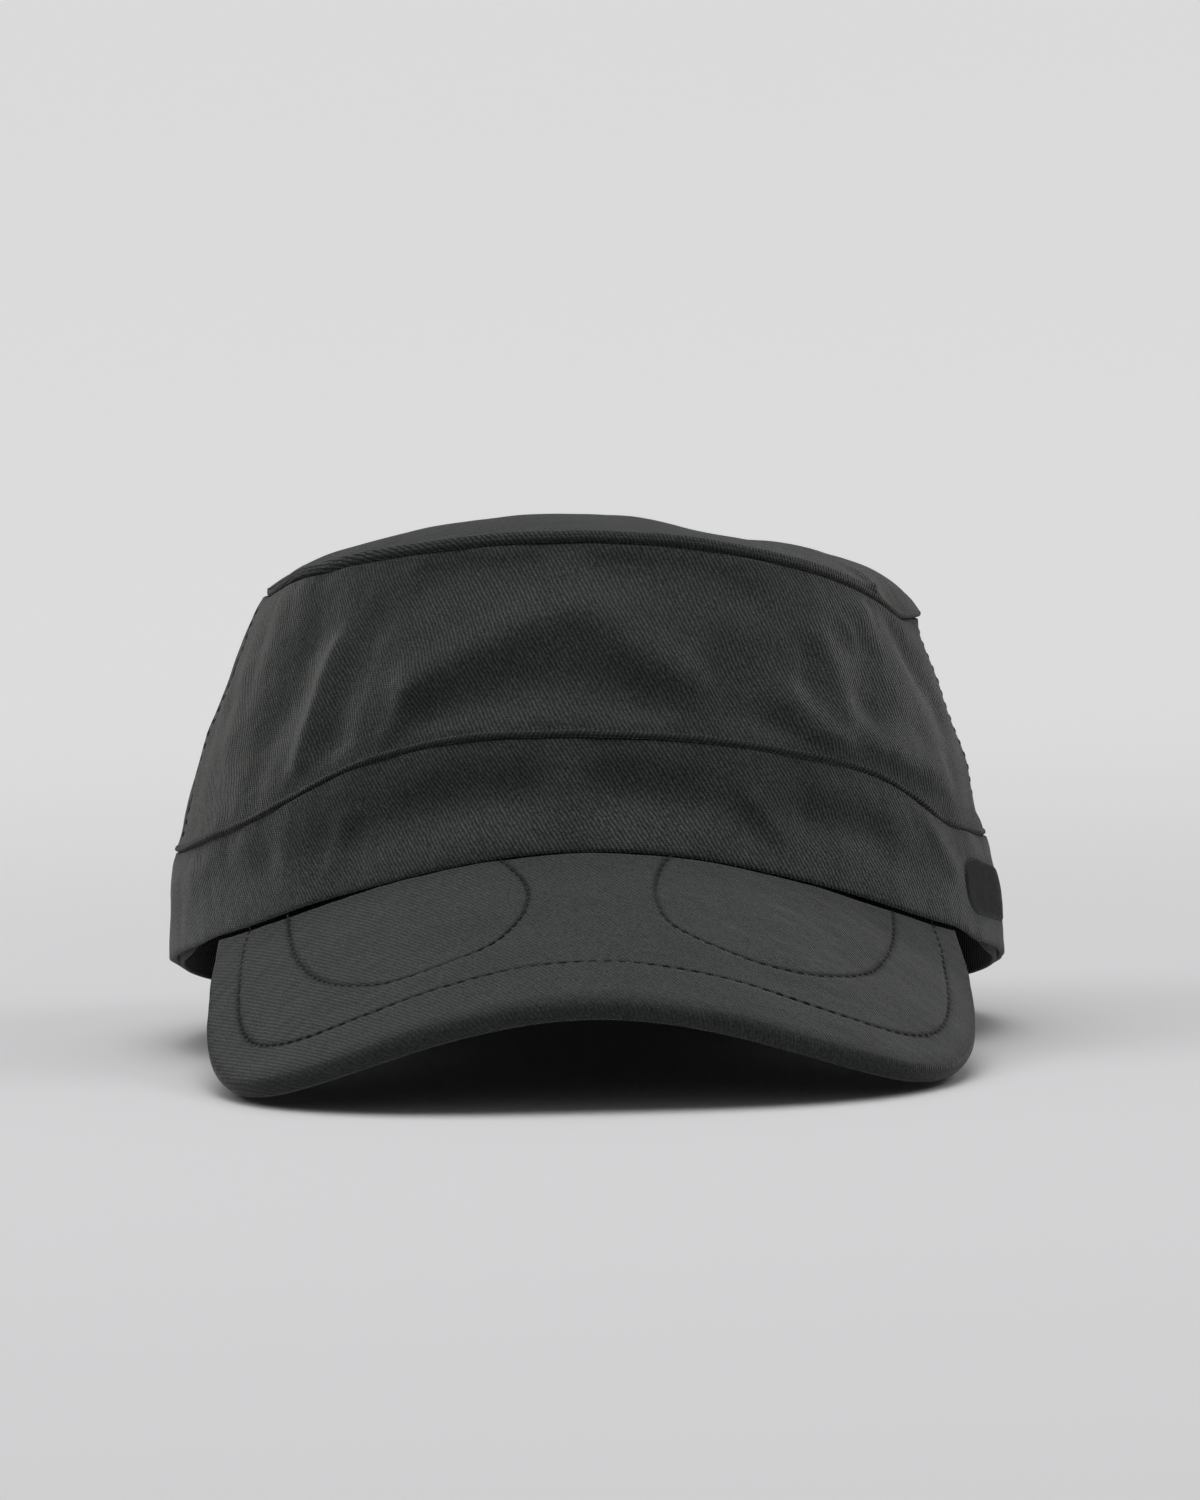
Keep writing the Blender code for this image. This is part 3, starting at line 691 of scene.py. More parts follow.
def nearest(x, y, paths):
    """Distance in plan from each point to the nearest of the stitched rows."""
    path = np.concatenate([row[::2] for row in paths])
    apart = np.full(x.shape, 1.0)
    for start in range(0, len(path), 64):
        some = path[start : start + 64]
        apart = np.minimum(apart, np.hypot(x[..., None] - some[:, 0], y[..., None] - some[:, 1]).min(axis=-1))
    return apart


def peak_points(columns, count):
    """Upper points of the peak. Its edge is powers of sine and cosine, spaced evenly along itself. Rows run
    straight from the edge to the rim, with heights on the bent slope, and then level in under the band."""
    fine = np.linspace(-math.pi / 2, math.pi / 2, 8001)
    power = 2 / PEAK_CORNER_POWER
    forward = PEAK_REACH - PEAK_WIDEST_AT - PEAK_EDGE_TURN
    fine_x = PEAK_SHIFT + (PEAK_HALF_WIDTH - PEAK_EDGE_TURN) * np.sign(fine) * np.abs(np.sin(fine)) ** power
    fine_y = HEAD_Y - PEAK_WIDEST_AT - forward * np.maximum(np.cos(fine), 0) ** power
    run = np.cumsum(np.hypot(np.diff(fine_x, prepend=fine_x[0]), np.diff(fine_y, prepend=fine_y[0])))
    across = np.linspace(-1, 1, columns)
    edge_x = np.interp((1 + across) / 2 * run[-1], run, fine_x)
    edge_y = np.interp((1 + across) / 2 * run[-1], run, fine_y)
    rim_x, rim_y = around(across * PEAK_ROOT_ANGLE, RIM_WIDTH, RIM_LENGTH, 0, 0)
    share = np.concatenate([[0, 0.006, 0.014], np.linspace(0.022, 1, count)])[:, None]
    x = edge_x + share * (rim_x - edge_x)
    y = edge_y + share * (rim_y - edge_y)
    fore = np.stack([x, y, peak_height(x, y)], axis=-1)
    root_x, root_y = around(across * PEAK_ROOT_ANGLE, RIM_WIDTH, RIM_LENGTH, 0, -PEAK_ROOT_INSET)
    level = peak_height(rim_x, rim_y) - GAP
    aft = np.stack([root_x, root_y, level], axis=-1)[None]
    return np.concatenate([fore, aft])


def bent_length(x):
    """Distance over the peak's bend from its middle line: the arc length of a parabola."""
    bend = (x - PEAK_SHIFT) / PEAK_BEND_RADIUS
    return PEAK_BEND_RADIUS / 2 * (bend * np.sqrt(1 + bend**2) + np.arcsinh(bend))


def stitch_mesh(path, normal, cap):
    """A row of stitches: short threads at an even pitch along a path. Each is a run of rings that thin out
    and dip into the cloth at its two ends. Ring: path point plus cosine times the normal, plus sine times
    the side."""
    steps = np.linalg.norm(np.diff(path, axis=0), axis=1)
    run = np.concatenate([[0], np.cumsum(steps)])
    count = int(run[-1] / cap.stitch_pitch)
    middles = (np.arange(count) + 0.5) * cap.stitch_pitch
    along = np.linspace(-1, 1, 7)
    places = middles[:, None] + along * cap.stitch_length / 2

    def read(values):
        return np.stack([np.interp(places, run, values[:, axis]) for axis in range(3)], axis=-1)

    tangent = unit(read(np.gradient(path, axis=0)))
    upward = unit(read(normal))
    side = unit(np.cross(tangent, upward))
    thick = cap.stitch_width / 2 * np.sqrt(np.clip(1.06 - along**2, 0, 1))
    lift = cap.stitch_width * (0.22 - 0.75 * along**4)
    sides = 6
    turn = np.arange(sides) / sides * 2 * math.pi
    middle = read(path) + upward * lift[None, :, None]
    spread = upward[:, :, None] * np.cos(turn)[:, None] + side[:, :, None] * np.sin(turn)[:, None]
    rings = middle[:, :, None] + thick[None, :, None, None] * spread
    first = np.arange(len(along) - 1)[:, None] * sides
    spoke = np.arange(sides)[None]
    onward = (spoke + 1) % sides
    ring_corners = [first + spoke, first + onward, first + sides + onward, first + sides + spoke]
    quads = np.stack(ring_corners, axis=-1).reshape(-1, 4)
    caps = np.stack([np.arange(sides)[::-1], (len(along) - 1) * sides + np.arange(sides)])
    starts = np.arange(count)[:, None, None] * len(along) * sides
    faces = (starts + quads).reshape(-1, 4).tolist() + (starts + caps).reshape(-1, sides).tolist()
    return rings.reshape(-1, 3), faces


def stitching_object(name, rows, look):
    """Joins rows of stitches into one mesh object."""
    points = []
    faces = []
    for row_points, row_faces in rows:
        start = sum(len(done) for done in points)
        points.append(row_points)
        faces.extend([[corner + start for corner in face] for face in row_faces])
    made = plain_object(name, np.concatenate(points), faces, look)
    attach(made, "root")
    return made


def plain_object(name, points, faces, look):
    """Makes a smooth mesh object from points and lists of corners."""
    mesh = bpy.data.meshes.new(name)
    mesh.from_pydata(points.tolist(), [], faces)
    mesh.polygons.foreach_set("use_smooth", np.ones(len(faces), bool))
    mesh.update()
    mesh.materials.append(look)
    made = bpy.data.objects.new(name, mesh)
    bpy.context.scene.collection.objects.link(made)
    return made


def embroidered_bar(cap):
    """A plain bar of satin stitch: face points, band points under it, and flat map. Its outline is a power
    curve at each end, and it stands proud by the root of a smooth step from its edge."""
    along = np.linspace(-0.999, 0.999, 280)[None]
    across = np.linspace(-1, 1, 31)[:, None]
    straight = BAR_HALF_LENGTH - BAR_CORNER
    reach = np.maximum(np.abs(along) * BAR_HALF_LENGTH - straight, 0) / BAR_CORNER
    half_height = BAR_HALF_HEIGHT * np.sqrt(np.clip(1 - reach**2.4, 0, 1))
    degrees = BAR_ANGLE + along * BAR_HALF_LENGTH / FOLD_ARC + 0 * across
    rim = rim_height(degrees)
    heights = rim + BAR_SHARE * (band_seam_height(degrees) - rim) + across * half_height
    base, outer, _ = band_points(degrees, heights, cap, 0)
    normal = unit(np.cross(*slopes_of(base, False)))
    edge = np.minimum(half_height * (1 - np.abs(across)), (1 - np.abs(along)) * BAR_HALF_LENGTH)
    strands = 0.03 * MM * np.sin(along * BAR_HALF_LENGTH / STRAND_PITCH * 2 * math.pi)
    raised = BAR_RAISED * np.sqrt(smooth_step(0, 0.9 * MM, edge)) + strands
    flat = np.stack([along * BAR_HALF_LENGTH + 0 * across, across * half_height], axis=-1)
    return outer + raised[..., None] * normal, outer, flat


class Shader:
    """Builds one node material around its Principled shader."""

    def __init__(self, name):
        self.material = bpy.data.materials.new(name)
        self.material.use_nodes = True
        self.tree = self.material.node_tree
        self.surface = self.tree.nodes["Principled BSDF"]

    def fill(self, socket, value):
        """Links a node's output to a socket, or sets the socket's own value."""
        if isinstance(value, bpy.types.NodeSocket):
            self.tree.links.new(value, socket)
        else:
            socket.default_value = value

    def feed(self, **inputs):
        for title, value in inputs.items():
            self.fill(self.surface.inputs[title.replace("_", " ")], value)

    def node(self, kind, **inputs):
        made = self.tree.nodes.new(kind)
        for title, value in inputs.items():
            self.fill(made.inputs[title.replace("_", " ")], value)
        return made

    def calc(self, operation, first, second=0.5, third=0.5):
        made = self.tree.nodes.new("ShaderNodeMath")
        made.operation = operation
        for socket, value in zip(made.inputs, (first, second, third)):
            self.fill(socket, value)
        return made.outputs[0]

    def times(self, first, second):
        return self.calc("MULTIPLY", first, second)

    def scaled(self, value, factor, added):
        return self.calc("MULTIPLY_ADD", value, factor, added)

    def noise(self, vector, size, detail=2.0, roughness=0.5):
        kind = "ShaderNodeTexNoise"
        made = self.node(kind, Vector=vector, Scale=1 / size, Detail=detail, Roughness=roughness)
        return made.outputs["Fac"]

    def around_one(self, noise, strength):
        """A noise as a factor: one plus its distance from a half, times a strength."""
        return self.scaled(self.calc("SUBTRACT", noise, 0.5), strength, 1.0)

    def bump(self, height, distance, strength, before=None):
        made = self.node("ShaderNodeBump", Height=height, Distance=distance, Strength=strength)
        if before:
            self.fill(made.inputs["Normal"], before)
        return made.outputs[0]

    def attribute(self, title):
        made = self.tree.nodes.new("ShaderNodeAttribute")
        made.attribute_name = title
        return made.outputs["Fac"]

    def weave_map(self):
        """The cloth's own flat map."""
        made = self.tree.nodes.new("ShaderNodeUVMap")
        made.uv_map = "weave"
        return made.outputs[0]

    def place(self):
        """Coordinates of the object."""
        return self.tree.nodes.new("ShaderNodeTexCoord").outputs["Object"]

    def tint(self, colour, shade):
        """The base colour is one colour times a shade."""
        made = self.tree.nodes.new("ShaderNodeVectorMath")
        made.operation = "SCALE"
        made.inputs[0].default_value = colour[:3]
        self.fill(made.inputs["Scale"], shade)
        self.feed(Base_Color=made.outputs[0])


def twill(name, colour, look, pitch, depth, strength=1.0, stitched=False):
    """Twill cloth. Slanting ridges at an even pitch cross the flat map, broken into short floats along them.
    The colour follows the ridges, by the contrast times a strength, a fine mottle of fibres, and the piece's
    painted light and shade. On stitched cloth, a furrow with painted shade follows the distance from the
    stitches."""
    made = Shader(name)
    turned = made.node("ShaderNodeMapping", Vector=made.weave_map())
    turned.inputs["Rotation"].default_value = (0, 0, -look.twill_angle)
    turned.inputs["Scale"].default_value = (1 / pitch, 1 / pitch, 1)
    place = turned.outputs[0]
    solid = made.place()
    parts = made.node("ShaderNodeSeparateXYZ", Vector=place)
    wobble = made.calc("SUBTRACT", made.noise(place, 2.5), 0.5)
    across = made.scaled(wobble, 0.9, parts.outputs["X"])
    ridge = made.calc("SINE", made.times(across, 2 * math.pi))
    along = made.scaled(parts.outputs["X"], 0.5, parts.outputs["Y"])
    floats = made.calc("SINE", made.times(along, 3 * math.pi))
    broken = made.times(made.scaled(ridge, 0.5, 0.5), floats)
    fibre = made.noise(solid, FIBRE_SIZE, 3.0, 0.7)
    nap = made.noise(solid, NAP_SIZE, 3.0, 0.6)
    height = made.scaled(ridge, 0.5, made.times(broken, 0.28))
    height = made.scaled(fibre, 0.7, height)
    bumped = made.bump(height, depth, 1.0)
    bumped = made.bump(nap, NAP_DEPTH, 0.6, bumped)
    # One plus the piece's painted light and shade, which scales the colour
    painted_shading = made.calc("ADD", made.attribute("painted_shading"), 1.0)
    if stitched:
        away = made.calc("DIVIDE", made.attribute("stitch_distance"), FURROW_WIDTH)
        furrow = made.calc("EXPONENT", made.times(made.times(away, away), -1.0))
        bumped = made.bump(furrow, -FURROW_DEPTH, 1.0, bumped)
        # Painted shade darkens the furrow along the stitches
        painted_shading = made.times(painted_shading, made.scaled(furrow, -FURROW_SHADE, 1.0))
    mottle = made.around_one(made.noise(solid, MOTTLE_SIZE, 4.0, 0.75), MOTTLE)
    cloudy = made.around_one(made.noise(solid, CLOUD_SIZE, 3.0), CLOUD)
    shade = made.times(made.scaled(ridge, look.twill_contrast * strength, 1.0), mottle)
    made.tint(colour, made.times(made.times(shade, cloudy), painted_shading))
    made.feed(Normal=bumped, Roughness=made.scaled(nap, 0.12, 0.8), Specular_IOR_Level=0.12)
    made.feed(Sheen_Weight=look.sheen, Sheen_Roughness=0.22, Sheen_Tint=(0.82, 0.82, 0.78, 1))
    made.material.diffuse_color = (*colour[:3], 1)
    return made.material


def thread(name, colour):
    """Sewing thread: a dark, slightly glossy fibre with a fine uneven twist."""
    made = Shader(name)
    twist = made.noise(made.place(), 0.18 * MM)
    made.tint(colour, made.scaled(twist, 0.8, 0.6))
    bumped = made.bump(twist, 0.06 * MM, 0.7)
    made.feed(Normal=bumped, Roughness=made.scaled(twist, 0.2, 0.5), Specular_IOR_Level=0.3)
    return made.material


def satin(name, colour):
    """Satin stitch: close upright threads across the flat map, with a soft shine."""
    made = Shader(name)
    flat = made.weave_map()
    parts = made.node("ShaderNodeSeparateXYZ", Vector=flat)
    wobble = made.times(made.calc("SUBTRACT", made.noise(flat, 1.5 * MM), 0.5), 0.3 * MM)
    place = made.calc("DIVIDE", made.calc("ADD", parts.outputs["X"], wobble), STRAND_PITCH)
    strand = made.calc("SINE", made.times(place, 2 * math.pi))
    made.tint(colour, made.scaled(strand, 0.25, 1.0))
    bumped = made.bump(strand, 0.07 * MM, 0.8)
    made.feed(Normal=bumped, Roughness=made.scaled(strand, 0.05, 0.45), Specular_IOR_Level=0.35)
    return made.material


def floor_paint(colour):
    """Pale matt floor. Behind the cap it glows by the share of the overhead light that it loses: one less
    the inverse square of one plus the square of the distance over the light's height."""
    paint = Shader("Pale floor")
    solid = paint.place()
    paint.tint(colour, paint.scaled(paint.noise(solid, 0.5), 0.02, 0.99))
    far = paint.node("ShaderNodeVectorMath", Vector=solid)
    far.operation = "LENGTH"
    away = far.outputs["Value"]
    squared = paint.calc("POWER", paint.calc("DIVIDE", away, LIGHT_HEIGHT), 2.0)
    lost = paint.calc("POWER", paint.calc("ADD", squared, 1.0), -2.0)
    parts = paint.node("ShaderNodeSeparateXYZ", Vector=solid)
    behind = paint.calc("SUBTRACT", paint.calc("DIVIDE", parts.outputs["Y"], away), 0.6)
    behind = paint.calc("MINIMUM", paint.calc("MAXIMUM", paint.times(behind, 4.0), 0.0), 1.0)
    glow = paint.times(paint.calc("SUBTRACT", 1.0, lost), behind)
    paint.feed(Emission_Color=(1, 1, 1, 1), Emission_Strength=paint.times(glow, BACKDROP_GLOW))
    paint.feed(Roughness=0.95, Specular_IOR_Level=0.1)
    return paint.material


def floor_object(look):
    """A round floor: flat, and then rising like a bowl by the square of the distance past the flat part."""
    turn = np.linspace(0, 2 * math.pi, FLOOR_SPOKES + 1)[:-1]
    edge = FLOOR_FLAT + FLOOR_BOWL
    radius = np.concatenate([[0.01], np.linspace(0.2, FLOOR_FLAT, 8), np.linspace(1.7, edge, 26)])[:, None]
    rise = FLOOR_RISE * np.clip((radius - FLOOR_FLAT) / FLOOR_BOWL, 0, 1) ** 2
    points = np.stack([radius * np.sin(turn), -radius * np.cos(turn), rise + 0 * turn], axis=-1)
    first = np.arange(len(radius) - 1)[:, None] * FLOOR_SPOKES
    spoke = np.arange(FLOOR_SPOKES)[None]
    onward = (spoke + 1) % FLOOR_SPOKES
    corners = [first + FLOOR_SPOKES + spoke, first + FLOOR_SPOKES + onward, first + onward, first + spoke]
    faces = np.stack(corners, axis=-1).reshape(-1, 4).tolist() + [list(range(FLOOR_SPOKES))]
    return plain_object("floor", points.reshape(-1, 3), faces, look)


def area_light(name, place, aim, size, power):
    """A soft square light at a place, facing an aim."""
    lamp = bpy.data.lights.new(name, "AREA")
    lamp.shape = "RECTANGLE"
    lamp.size, lamp.size_y = size
    lamp.energy = power
    held = bpy.data.objects.new(name, lamp)
    held.location = place
    held.rotation_euler = (Vector(aim) - Vector(place)).to_track_quat("-Z", "Y").to_euler()
    bpy.context.scene.collection.objects.link(held)


def room_light(strength):
    """An even white light from all round."""
    world = bpy.data.worlds.new("Room")
    world.use_nodes = True
    background = world.node_tree.nodes["Background"]
    background.inputs["Color"].default_value = (1, 1, 1, 1)
    background.inputs["Strength"].default_value = strength
    bpy.context.scene.world = world


def place_camera(scene):
    """The photo's camera: close, low, and turned a little about its own line of sight."""
    lens = bpy.data.cameras.new("Camera")
    lens.sensor_fit = "VERTICAL"
    lens.sensor_height = lens.sensor_width = 36
    lens.lens = CAMERA_LENS
    lens.clip_start = 0.05
    lens.clip_end = 50
    camera = bpy.data.objects.new("Camera", lens)
    tilt = Matrix.Rotation(math.radians(90 - CAMERA_DOWN), 4, "X")
    roll_over = Matrix.Rotation(math.radians(CAMERA_ROLL), 4, "Z")
    camera.matrix_world = Matrix.Translation(CAMERA_PLACE) @ tilt @ roll_over
    scene.collection.objects.link(camera)
    scene.camera = camera


def millimetres(name, about, default, low, high):
    """A length that a user can change, given in millimetres."""
    sizes = {"default": default * MM, "min": low * MM, "max": high * MM}
    return FloatProperty(name=name, description=about, **sizes, subtype="DISTANCE", unit="LENGTH")


def portion(name, about, default, high=1):
    """A share that a user can change, from nothing up to a limit."""
    return FloatProperty(name=name, description=about, default=default, min=0, max=high, subtype="FACTOR")


def power(name, about, default):
    """A light's power, in watts."""
    return FloatProperty(name=name, description=about, default=default, min=0, unit="POWER")


def tint(name, about, default):
    """A colour that a user can change."""
    limits = {"min": 0, "max": 1, "size": 3}
    return FloatVectorProperty(name=name, description=about, default=default, **limits, subtype="COLOR")


class CapSewing(bpy.types.PropertyGroup):
    """Sizes of the cap's sewn detail."""

    welt_width: millimetres("Round edge width", "Width of the raised edge along the seams", 1.35, 0.5, 4)
    welt_height: millimetres("Round edge height", "How far that edge stands proud", 0.45, 0, 2)
    pucker_depth: millimetres("Gather depth", "Depth of the small gathers along the seams", 0.10, 0, 1)
    fold_depth: portion("Fold depth", "Depth of the soft folds, as a share of the modelled depth", 1.0, 2)
    stitch_pitch: millimetres("Stitch pitch", "Distance from one stitch to the next", 2.75, 1, 6)
    stitch_length: millimetres("Stitch length", "Length of thread that shows", 2.1, 0.5, 5)
    stitch_width: millimetres("Stitch width", "Width of the thread", 0.62, 0.1, 1)


class CapLook(bpy.types.PropertyGroup):
    """Colours and finish of the cap."""

    cloth_colour: tint("Cloth colour", "Colour of the crown and band", (0.042, 0.0455, 0.0445))
    peak_colour: tint("Peak colour", "Colour of the peak", (0.0445, 0.048, 0.0465))
    sweatband_colour: tint("Sweatband colour", "Colour of the sweatband inside", (0.025, 0.028, 0.027))
    thread_colour: tint("Thread colour", "Colour of the stitching", (0.004, 0.0045, 0.004))
    satin_colour: tint("Bar colour", "Colour of the embroidered bar", (0.010, 0.011, 0.010))
    twill_pitch: millimetres("Twill pitch", "Distance between slanting ridges of the twill", 0.78, 0.2, 3)
    twill_depth: millimetres("Twill depth", "Depth of the twill's ridges", 0.14, 0, 0.5)
    twill_angle: FloatProperty(
        name="Twill angle", description="Slant of the twill's ridges away from upright",
        default=math.radians(30), min=0, max=math.pi / 2, subtype="ANGLE", unit="ROTATION",
    )
    twill_contrast: portion("Twill contrast", "How much lighter the ridges are than the furrows", 0.42)
    sheen: portion("Sheen", "Strength of the soft light on the fibres at the cap's outline", 0.42)


class StageLook(bpy.types.PropertyGroup):
    """The floor and the light."""

    floor_colour: tint("Floor colour", "Colour of the pale floor", (0.67, 0.67, 0.68))
    top_light: power("Top light", "Power of the soft light overhead", 18.0)
    side_light: power("Side light", "Power of the soft light on each side", 4.4)
    room_light: portion("Room light", "Strength of the even light from all round", 0.2, 5)


def cap_cloth(context):
    """The twill of the crown and band, made once."""
    name = "Charcoal twill"
    look = context.scene.cap_look
    made = bpy.data.materials.get(name)
    return made or twill(name, look.cloth_colour, look, look.twill_pitch, look.twill_depth)


def sewing_thread(context):
    """The stitching thread, made once."""
    name = "Black thread"
    return bpy.data.materials.get(name) or thread(name, context.scene.cap_look.thread_colour)


class CAP_OT_crown_walls(bpy.types.Operator):
    """Make the front and back panels of the crown wall"""

    bl_idname = "cap.crown_walls"
    bl_label = "Crown walls"

    def execute(self, context):
        cap = context.scene.cap_sewing
        cloth = cap_cloth(context)
        half_gap = 0.05 * MM / FOLD_ARC
        front = np.linspace(-SIDE_SEAM_ANGLE + half_gap, SIDE_SEAM_ANGLE - half_gap, 341)
        back = np.linspace(SIDE_SEAM_ANGLE + half_gap, 360 - SIDE_SEAM_ANGLE - half_gap, 331)
        crown_wall("front_crown_cloth", "crown_front", front, 78, cap, cloth)
        crown_wall("back_crown_cloth", "crown_back", back, 60, cap, cloth)
        return {"FINISHED"}


class CAP_OT_top_panel(bpy.types.Operator):
    """Make the domed top panel with its turned-down edge"""

    bl_idname = "cap.top_panel"
    bl_label = "Top panel"

    def execute(self, context):
        cap = context.scene.cap_sewing
        base, outer, painted_shading, flat = top_points(full_turn(480), cap)
        first = cap.welt_width * EDGE_ROWS[0]
        skin = wrap(outer[:, :-1], base[:, :-1], flat, painted_shading, CLOTH, True, edge=first, pole=True)
        cloth_object("top_cloth", *skin, True, "top_panel", "cap_cloth", cap_cloth(context), pole=True)
        return {"FINISHED"}


class CAP_OT_band(bpy.types.Operator):
    """Make the band from its hem up to the seam under the crown wall"""

    bl_idname = "cap.band"
    bl_label = "Band"

    def execute(self, context):
        degrees = full_turn(640)
        rim = rim_height(degrees, lifted=True)
        heights = rows_between(rim, band_seam_height(degrees), HEM_ROWS, HEAD_ROWS, 44)
        hidden = heights[-1:] + np.array([[0.6], [1.5]]) * MM
        heights = np.concatenate([heights, hidden])
        base, outer, painted_shading = band_points(degrees, heights, context.scene.cap_sewing, 0)
        flat = np.stack([arc_lengths(base), heights], axis=-1)
        skin = wrap(outer[:, :-1], base[:, :-1], flat, painted_shading, CLOTH, True)
        cloth_object("band_cloth", *skin, True, "band", "cap_cloth", cap_cloth(context))
        return {"FINISHED"}


class CAP_OT_sweatband(bpy.types.Operator):
    """Make the sweatband inside the band"""

    bl_idname = "cap.sweatband"
    bl_label = "Sweatband"

    def execute(self, context):
        look = context.scene.cap_look
        degrees = full_turn(360)
        rim = rim_height(degrees)
        start, hung, still_hung, end = SWEATBAND_HANG_ANGLES
        beside = smooth_step(start, hung, np.abs(degrees)) - smooth_step(still_hung, end, np.abs(degrees))
        low = rim + SWEATBAND_LOW * (band_seam_height(degrees) + TUCK - rim)
        low = low - beside * (low - rim + SWEATBAND_HANG)
        high = rim + SWEATBAND_HIGH * (band_seam_height(degrees) + TUCK - rim)
        heights = rows_between(low, high, (0.55 * MM, 0.9 * MM), (0.9 * MM, 0.55 * MM), 16)
        base, outer, painted_shading = band_points(degrees, heights, context.scene.cap_sewing, CLOTH + GAP)
        flat = np.stack([arc_lengths(base), heights], axis=-1)
        skin = wrap(outer[:, :-1], base[:, :-1], flat, painted_shading * 0, SWEATBAND_THICKNESS, True, thin=1)
        lining = twill("Sweatband tape", look.sweatband_colour, look, 1.3 * MM, 0.12 * MM)
        cloth_object("sweatband_tape", *skin, True, "sweatband", "sweatband_cloth", lining)
        return {"FINISHED"}


class CAP_OT_peak(bpy.types.Operator):
    """Make the stiff peak with its rounded edge and its stitched furrows"""

    bl_idname = "cap.peak"
    bl_label = "Peak"

    def execute(self, context):
        look = context.scene.cap_look
        base = peak_points(441, 76)
        normal = unit(np.cross(*slopes_of(base, False)))
        relief = soft_noise(base, 24 * MM, 41) * 0.08 * MM + soft_noise(base, 6 * MM, 42) * 0.02 * MM
        outer = base + relief[..., None] * normal
        flat = np.stack([bent_length(base[..., 0]), base[..., 1] * math.hypot(1, PEAK_SLOPE)], axis=-1)
        from_edge = np.linalg.norm(base - base[0], axis=-1)
        # Painted shade along the peak's rounded edge
        painted_shading = -PEAK_EDGE_SHADE * (1 - smooth_step(0, 4 * MM, from_edge))
        points, maps, painted_shadings = wrap(
            outer, base, flat, painted_shading, PEAK_THICKNESS, False, thin=3, turn_rows=11, edge=PEAK_EDGE_TURN
        )
        apart = nearest(points[..., 0], points[..., 1], stitched_rows())
        apart[len(outer) + 5 :] = 1.0
        depth = 0.5 * look.twill_depth
        cloth = twill("Peak twill", look.peak_colour, look, look.twill_pitch, depth, 0.35, stitched=True)
        made = cloth_object("peak_cloth", points, maps, painted_shadings, False, "peak", "peak_cloth", cloth)
        give_values(made.data, "stitch_distance", apart)
        return {"FINISHED"}


class CAP_OT_stitching(bpy.types.Operator):
    """Sew the rows of stitches on the peak and beside the side seams"""

    bl_idname = "cap.stitching"
    bl_label = "Stitching"

    def execute(self, context):
        cap = context.scene.cap_sewing
        rows = []
        for plan in stitched_rows():
            x, y = plan.T
            path = np.stack([x, y, peak_height(x, y)], axis=-1)
            rise = 0.01 * MM
            slope_x = (peak_height(x + rise, y) - peak_height(x - rise, y)) / (2 * rise)
            normal = unit(np.stack([-slope_x, np.full(x.shape, -PEAK_SLOPE), np.ones(x.shape)], axis=-1))
            rows.append(stitch_mesh(path - PEAK_STITCH_SINK * normal, normal, cap))
        stitching_object("peak_stitching", rows, sewing_thread(context))
        rows = []
        for side in (-1, 1):
            for offset in SIDE_STITCH_OFFSETS:
                degrees = np.full(220, side * (SIDE_SEAM_ANGLE + offset / FOLD_ARC))
                low = band_seam_height(degrees) + 2.4 * MM
                high = top_seam_height(degrees) - 0.8 * MM
                heights = low + np.linspace(0, 1, 220) * (high - low)
                _, path, _ = wall_points(degrees, heights, cap)
                _, beside, _ = wall_points(degrees + 0.05, heights, cap)
                normal = unit(np.cross(beside - path, np.gradient(path, axis=0)))
                rows.append(stitch_mesh(path - SIDE_STITCH_SINK * normal, normal, cap))
        stitching_object("side_seam_stitching", rows, sewing_thread(context))
        return {"FINISHED"}


class CAP_OT_embroidery(bpy.types.Operator):
    """Embroider a plain rounded bar on the +X side of the band"""

    bl_idname = "cap.embroidery"
    bl_label = "Embroidered bar"

    def execute(self, context):
        face, under, flat = embroidered_bar(context.scene.cap_sewing)
        painted_shading = np.zeros(face.shape[:2])
        skin = wrap(face, under, flat, painted_shading, 0.15 * MM, False, turn_rows=1, edge=0.05 * MM)
        look = satin("Satin thread", context.scene.cap_look.satin_colour)
        cloth_object("embroidered_bar", *skin, False, None, "cap_cloth", look)
        return {"FINISHED"}


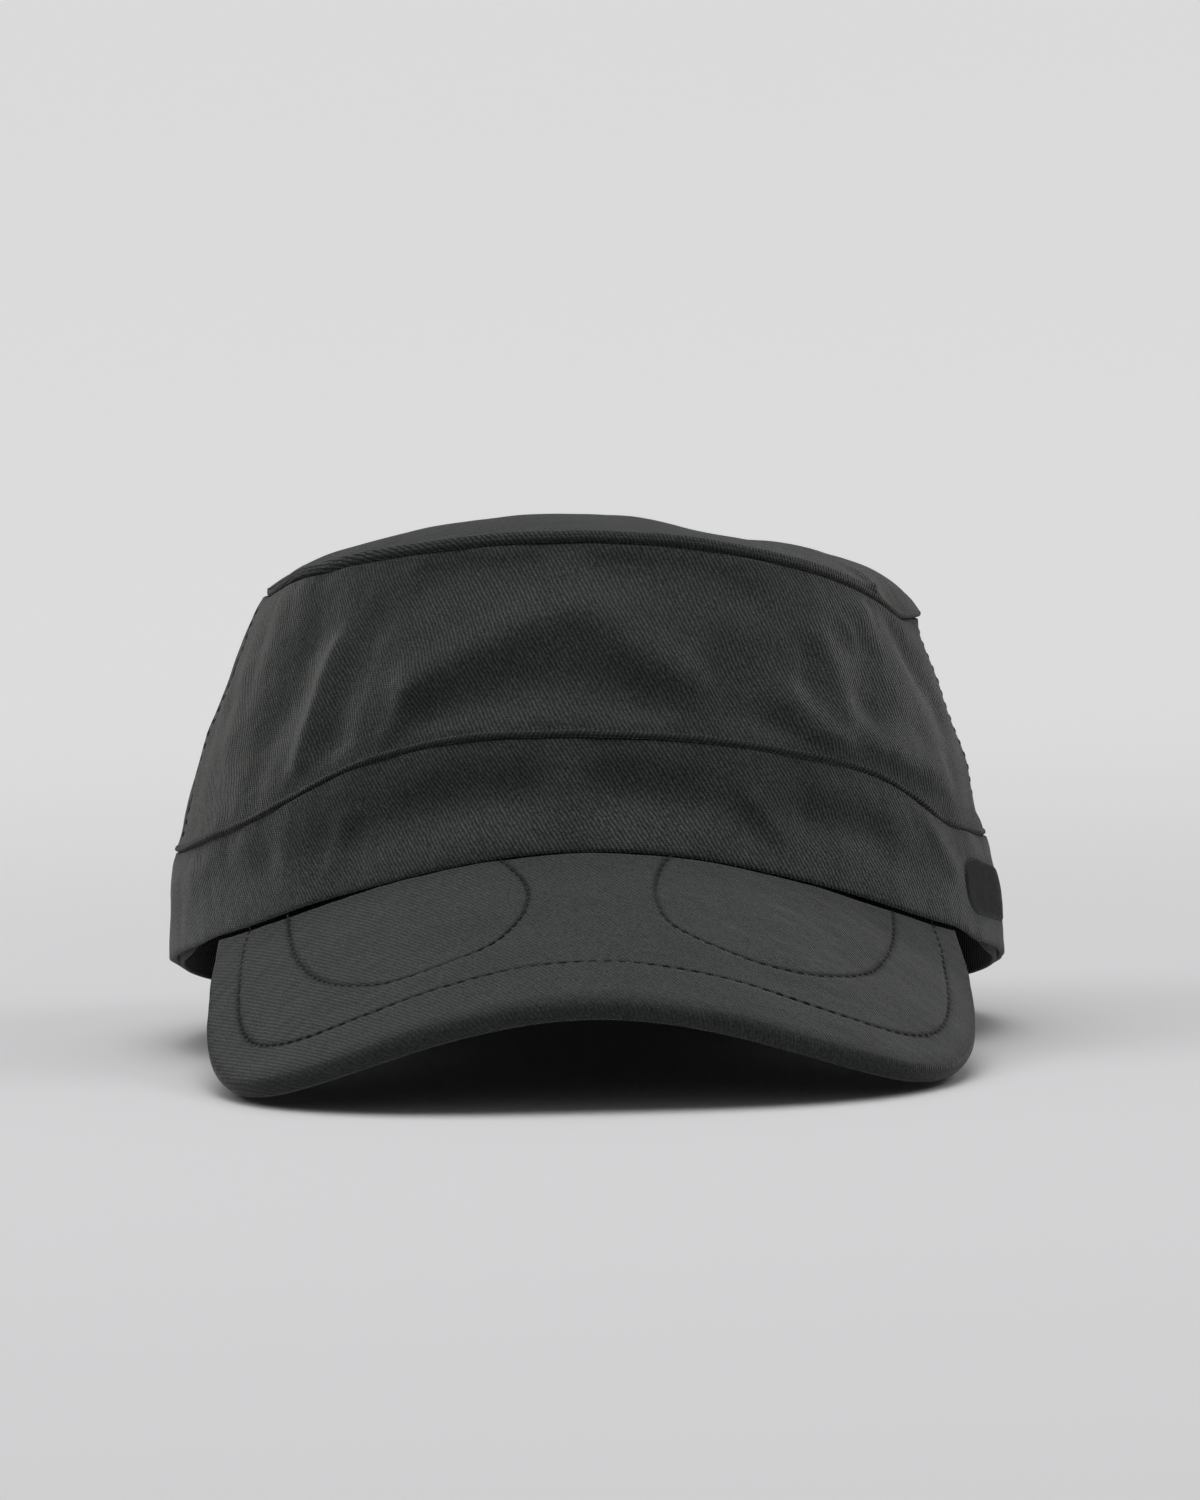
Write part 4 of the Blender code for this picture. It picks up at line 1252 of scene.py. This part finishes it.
class CAP_OT_stage(bpy.types.Operator):
    """Set the pale floor, the soft light and the camera"""

    bl_idname = "cap.stage"
    bl_label = "Stage"

    def execute(self, context):
        scene = context.scene
        stage = scene.cap_stage
        floor = floor_object(floor_paint(stage.floor_colour))
        room_light(stage.room_light)
        area_light("Top light", (-0.1, -0.15, LIGHT_HEIGHT), (0, 0, 0), (1.5, 1.3), stage.top_light)
        for name, side in (("Side light", -1), ("Far side light", 1)):
            area_light(name, (1.15 * side, -0.25, 1.1), (0, 0, 0.05), (0.7, 0.7), stage.side_light)
        place_camera(scene)
        scene.view_settings.view_transform = "Standard"
        return {"FINISHED"}


OPERATORS = (
    CAP_OT_crown_walls,
    CAP_OT_top_panel,
    CAP_OT_band,
    CAP_OT_sweatband,
    CAP_OT_peak,
    CAP_OT_stitching,
    CAP_OT_embroidery,
    CAP_OT_stage,
)


class CAP_PT_patrol_cap(bpy.types.Panel):
    """Sizes, colours and pieces of the patrol cap"""

    bl_label = "Patrol cap"
    bl_idname = "CAP_PT_patrol_cap"
    bl_space_type = "VIEW_3D"
    bl_region_type = "UI"
    bl_category = "Patrol cap"

    def draw(self, context):
        for settings in (context.scene.cap_sewing, context.scene.cap_look, context.scene.cap_stage):
            box = self.layout.box()
            for title in settings.bl_rna.properties.keys():
                if title not in ("rna_type", "name"):
                    box.prop(settings, title)
        for operator in OPERATORS:
            self.layout.operator(operator.bl_idname)


CLASSES = (CapSewing, CapLook, StageLook, *OPERATORS, CAP_PT_patrol_cap)


def register():
    for made in CLASSES:
        bpy.utils.register_class(made)
    bpy.types.Scene.cap_sewing = PointerProperty(type=CapSewing)
    bpy.types.Scene.cap_look = PointerProperty(type=CapLook)
    bpy.types.Scene.cap_stage = PointerProperty(type=StageLook)


def unregister():
    del bpy.types.Scene.cap_stage
    del bpy.types.Scene.cap_look
    del bpy.types.Scene.cap_sewing
    for made in reversed(CLASSES):
        bpy.utils.unregister_class(made)


def main():
    """Makes every piece in order."""
    register()
    bpy.ops.cap.crown_walls()
    bpy.ops.cap.top_panel()
    bpy.ops.cap.band()
    bpy.ops.cap.sweatband()
    bpy.ops.cap.peak()
    bpy.ops.cap.stitching()
    bpy.ops.cap.embroidery()
    bpy.ops.cap.stage()


if __name__ == "__main__":
    main()
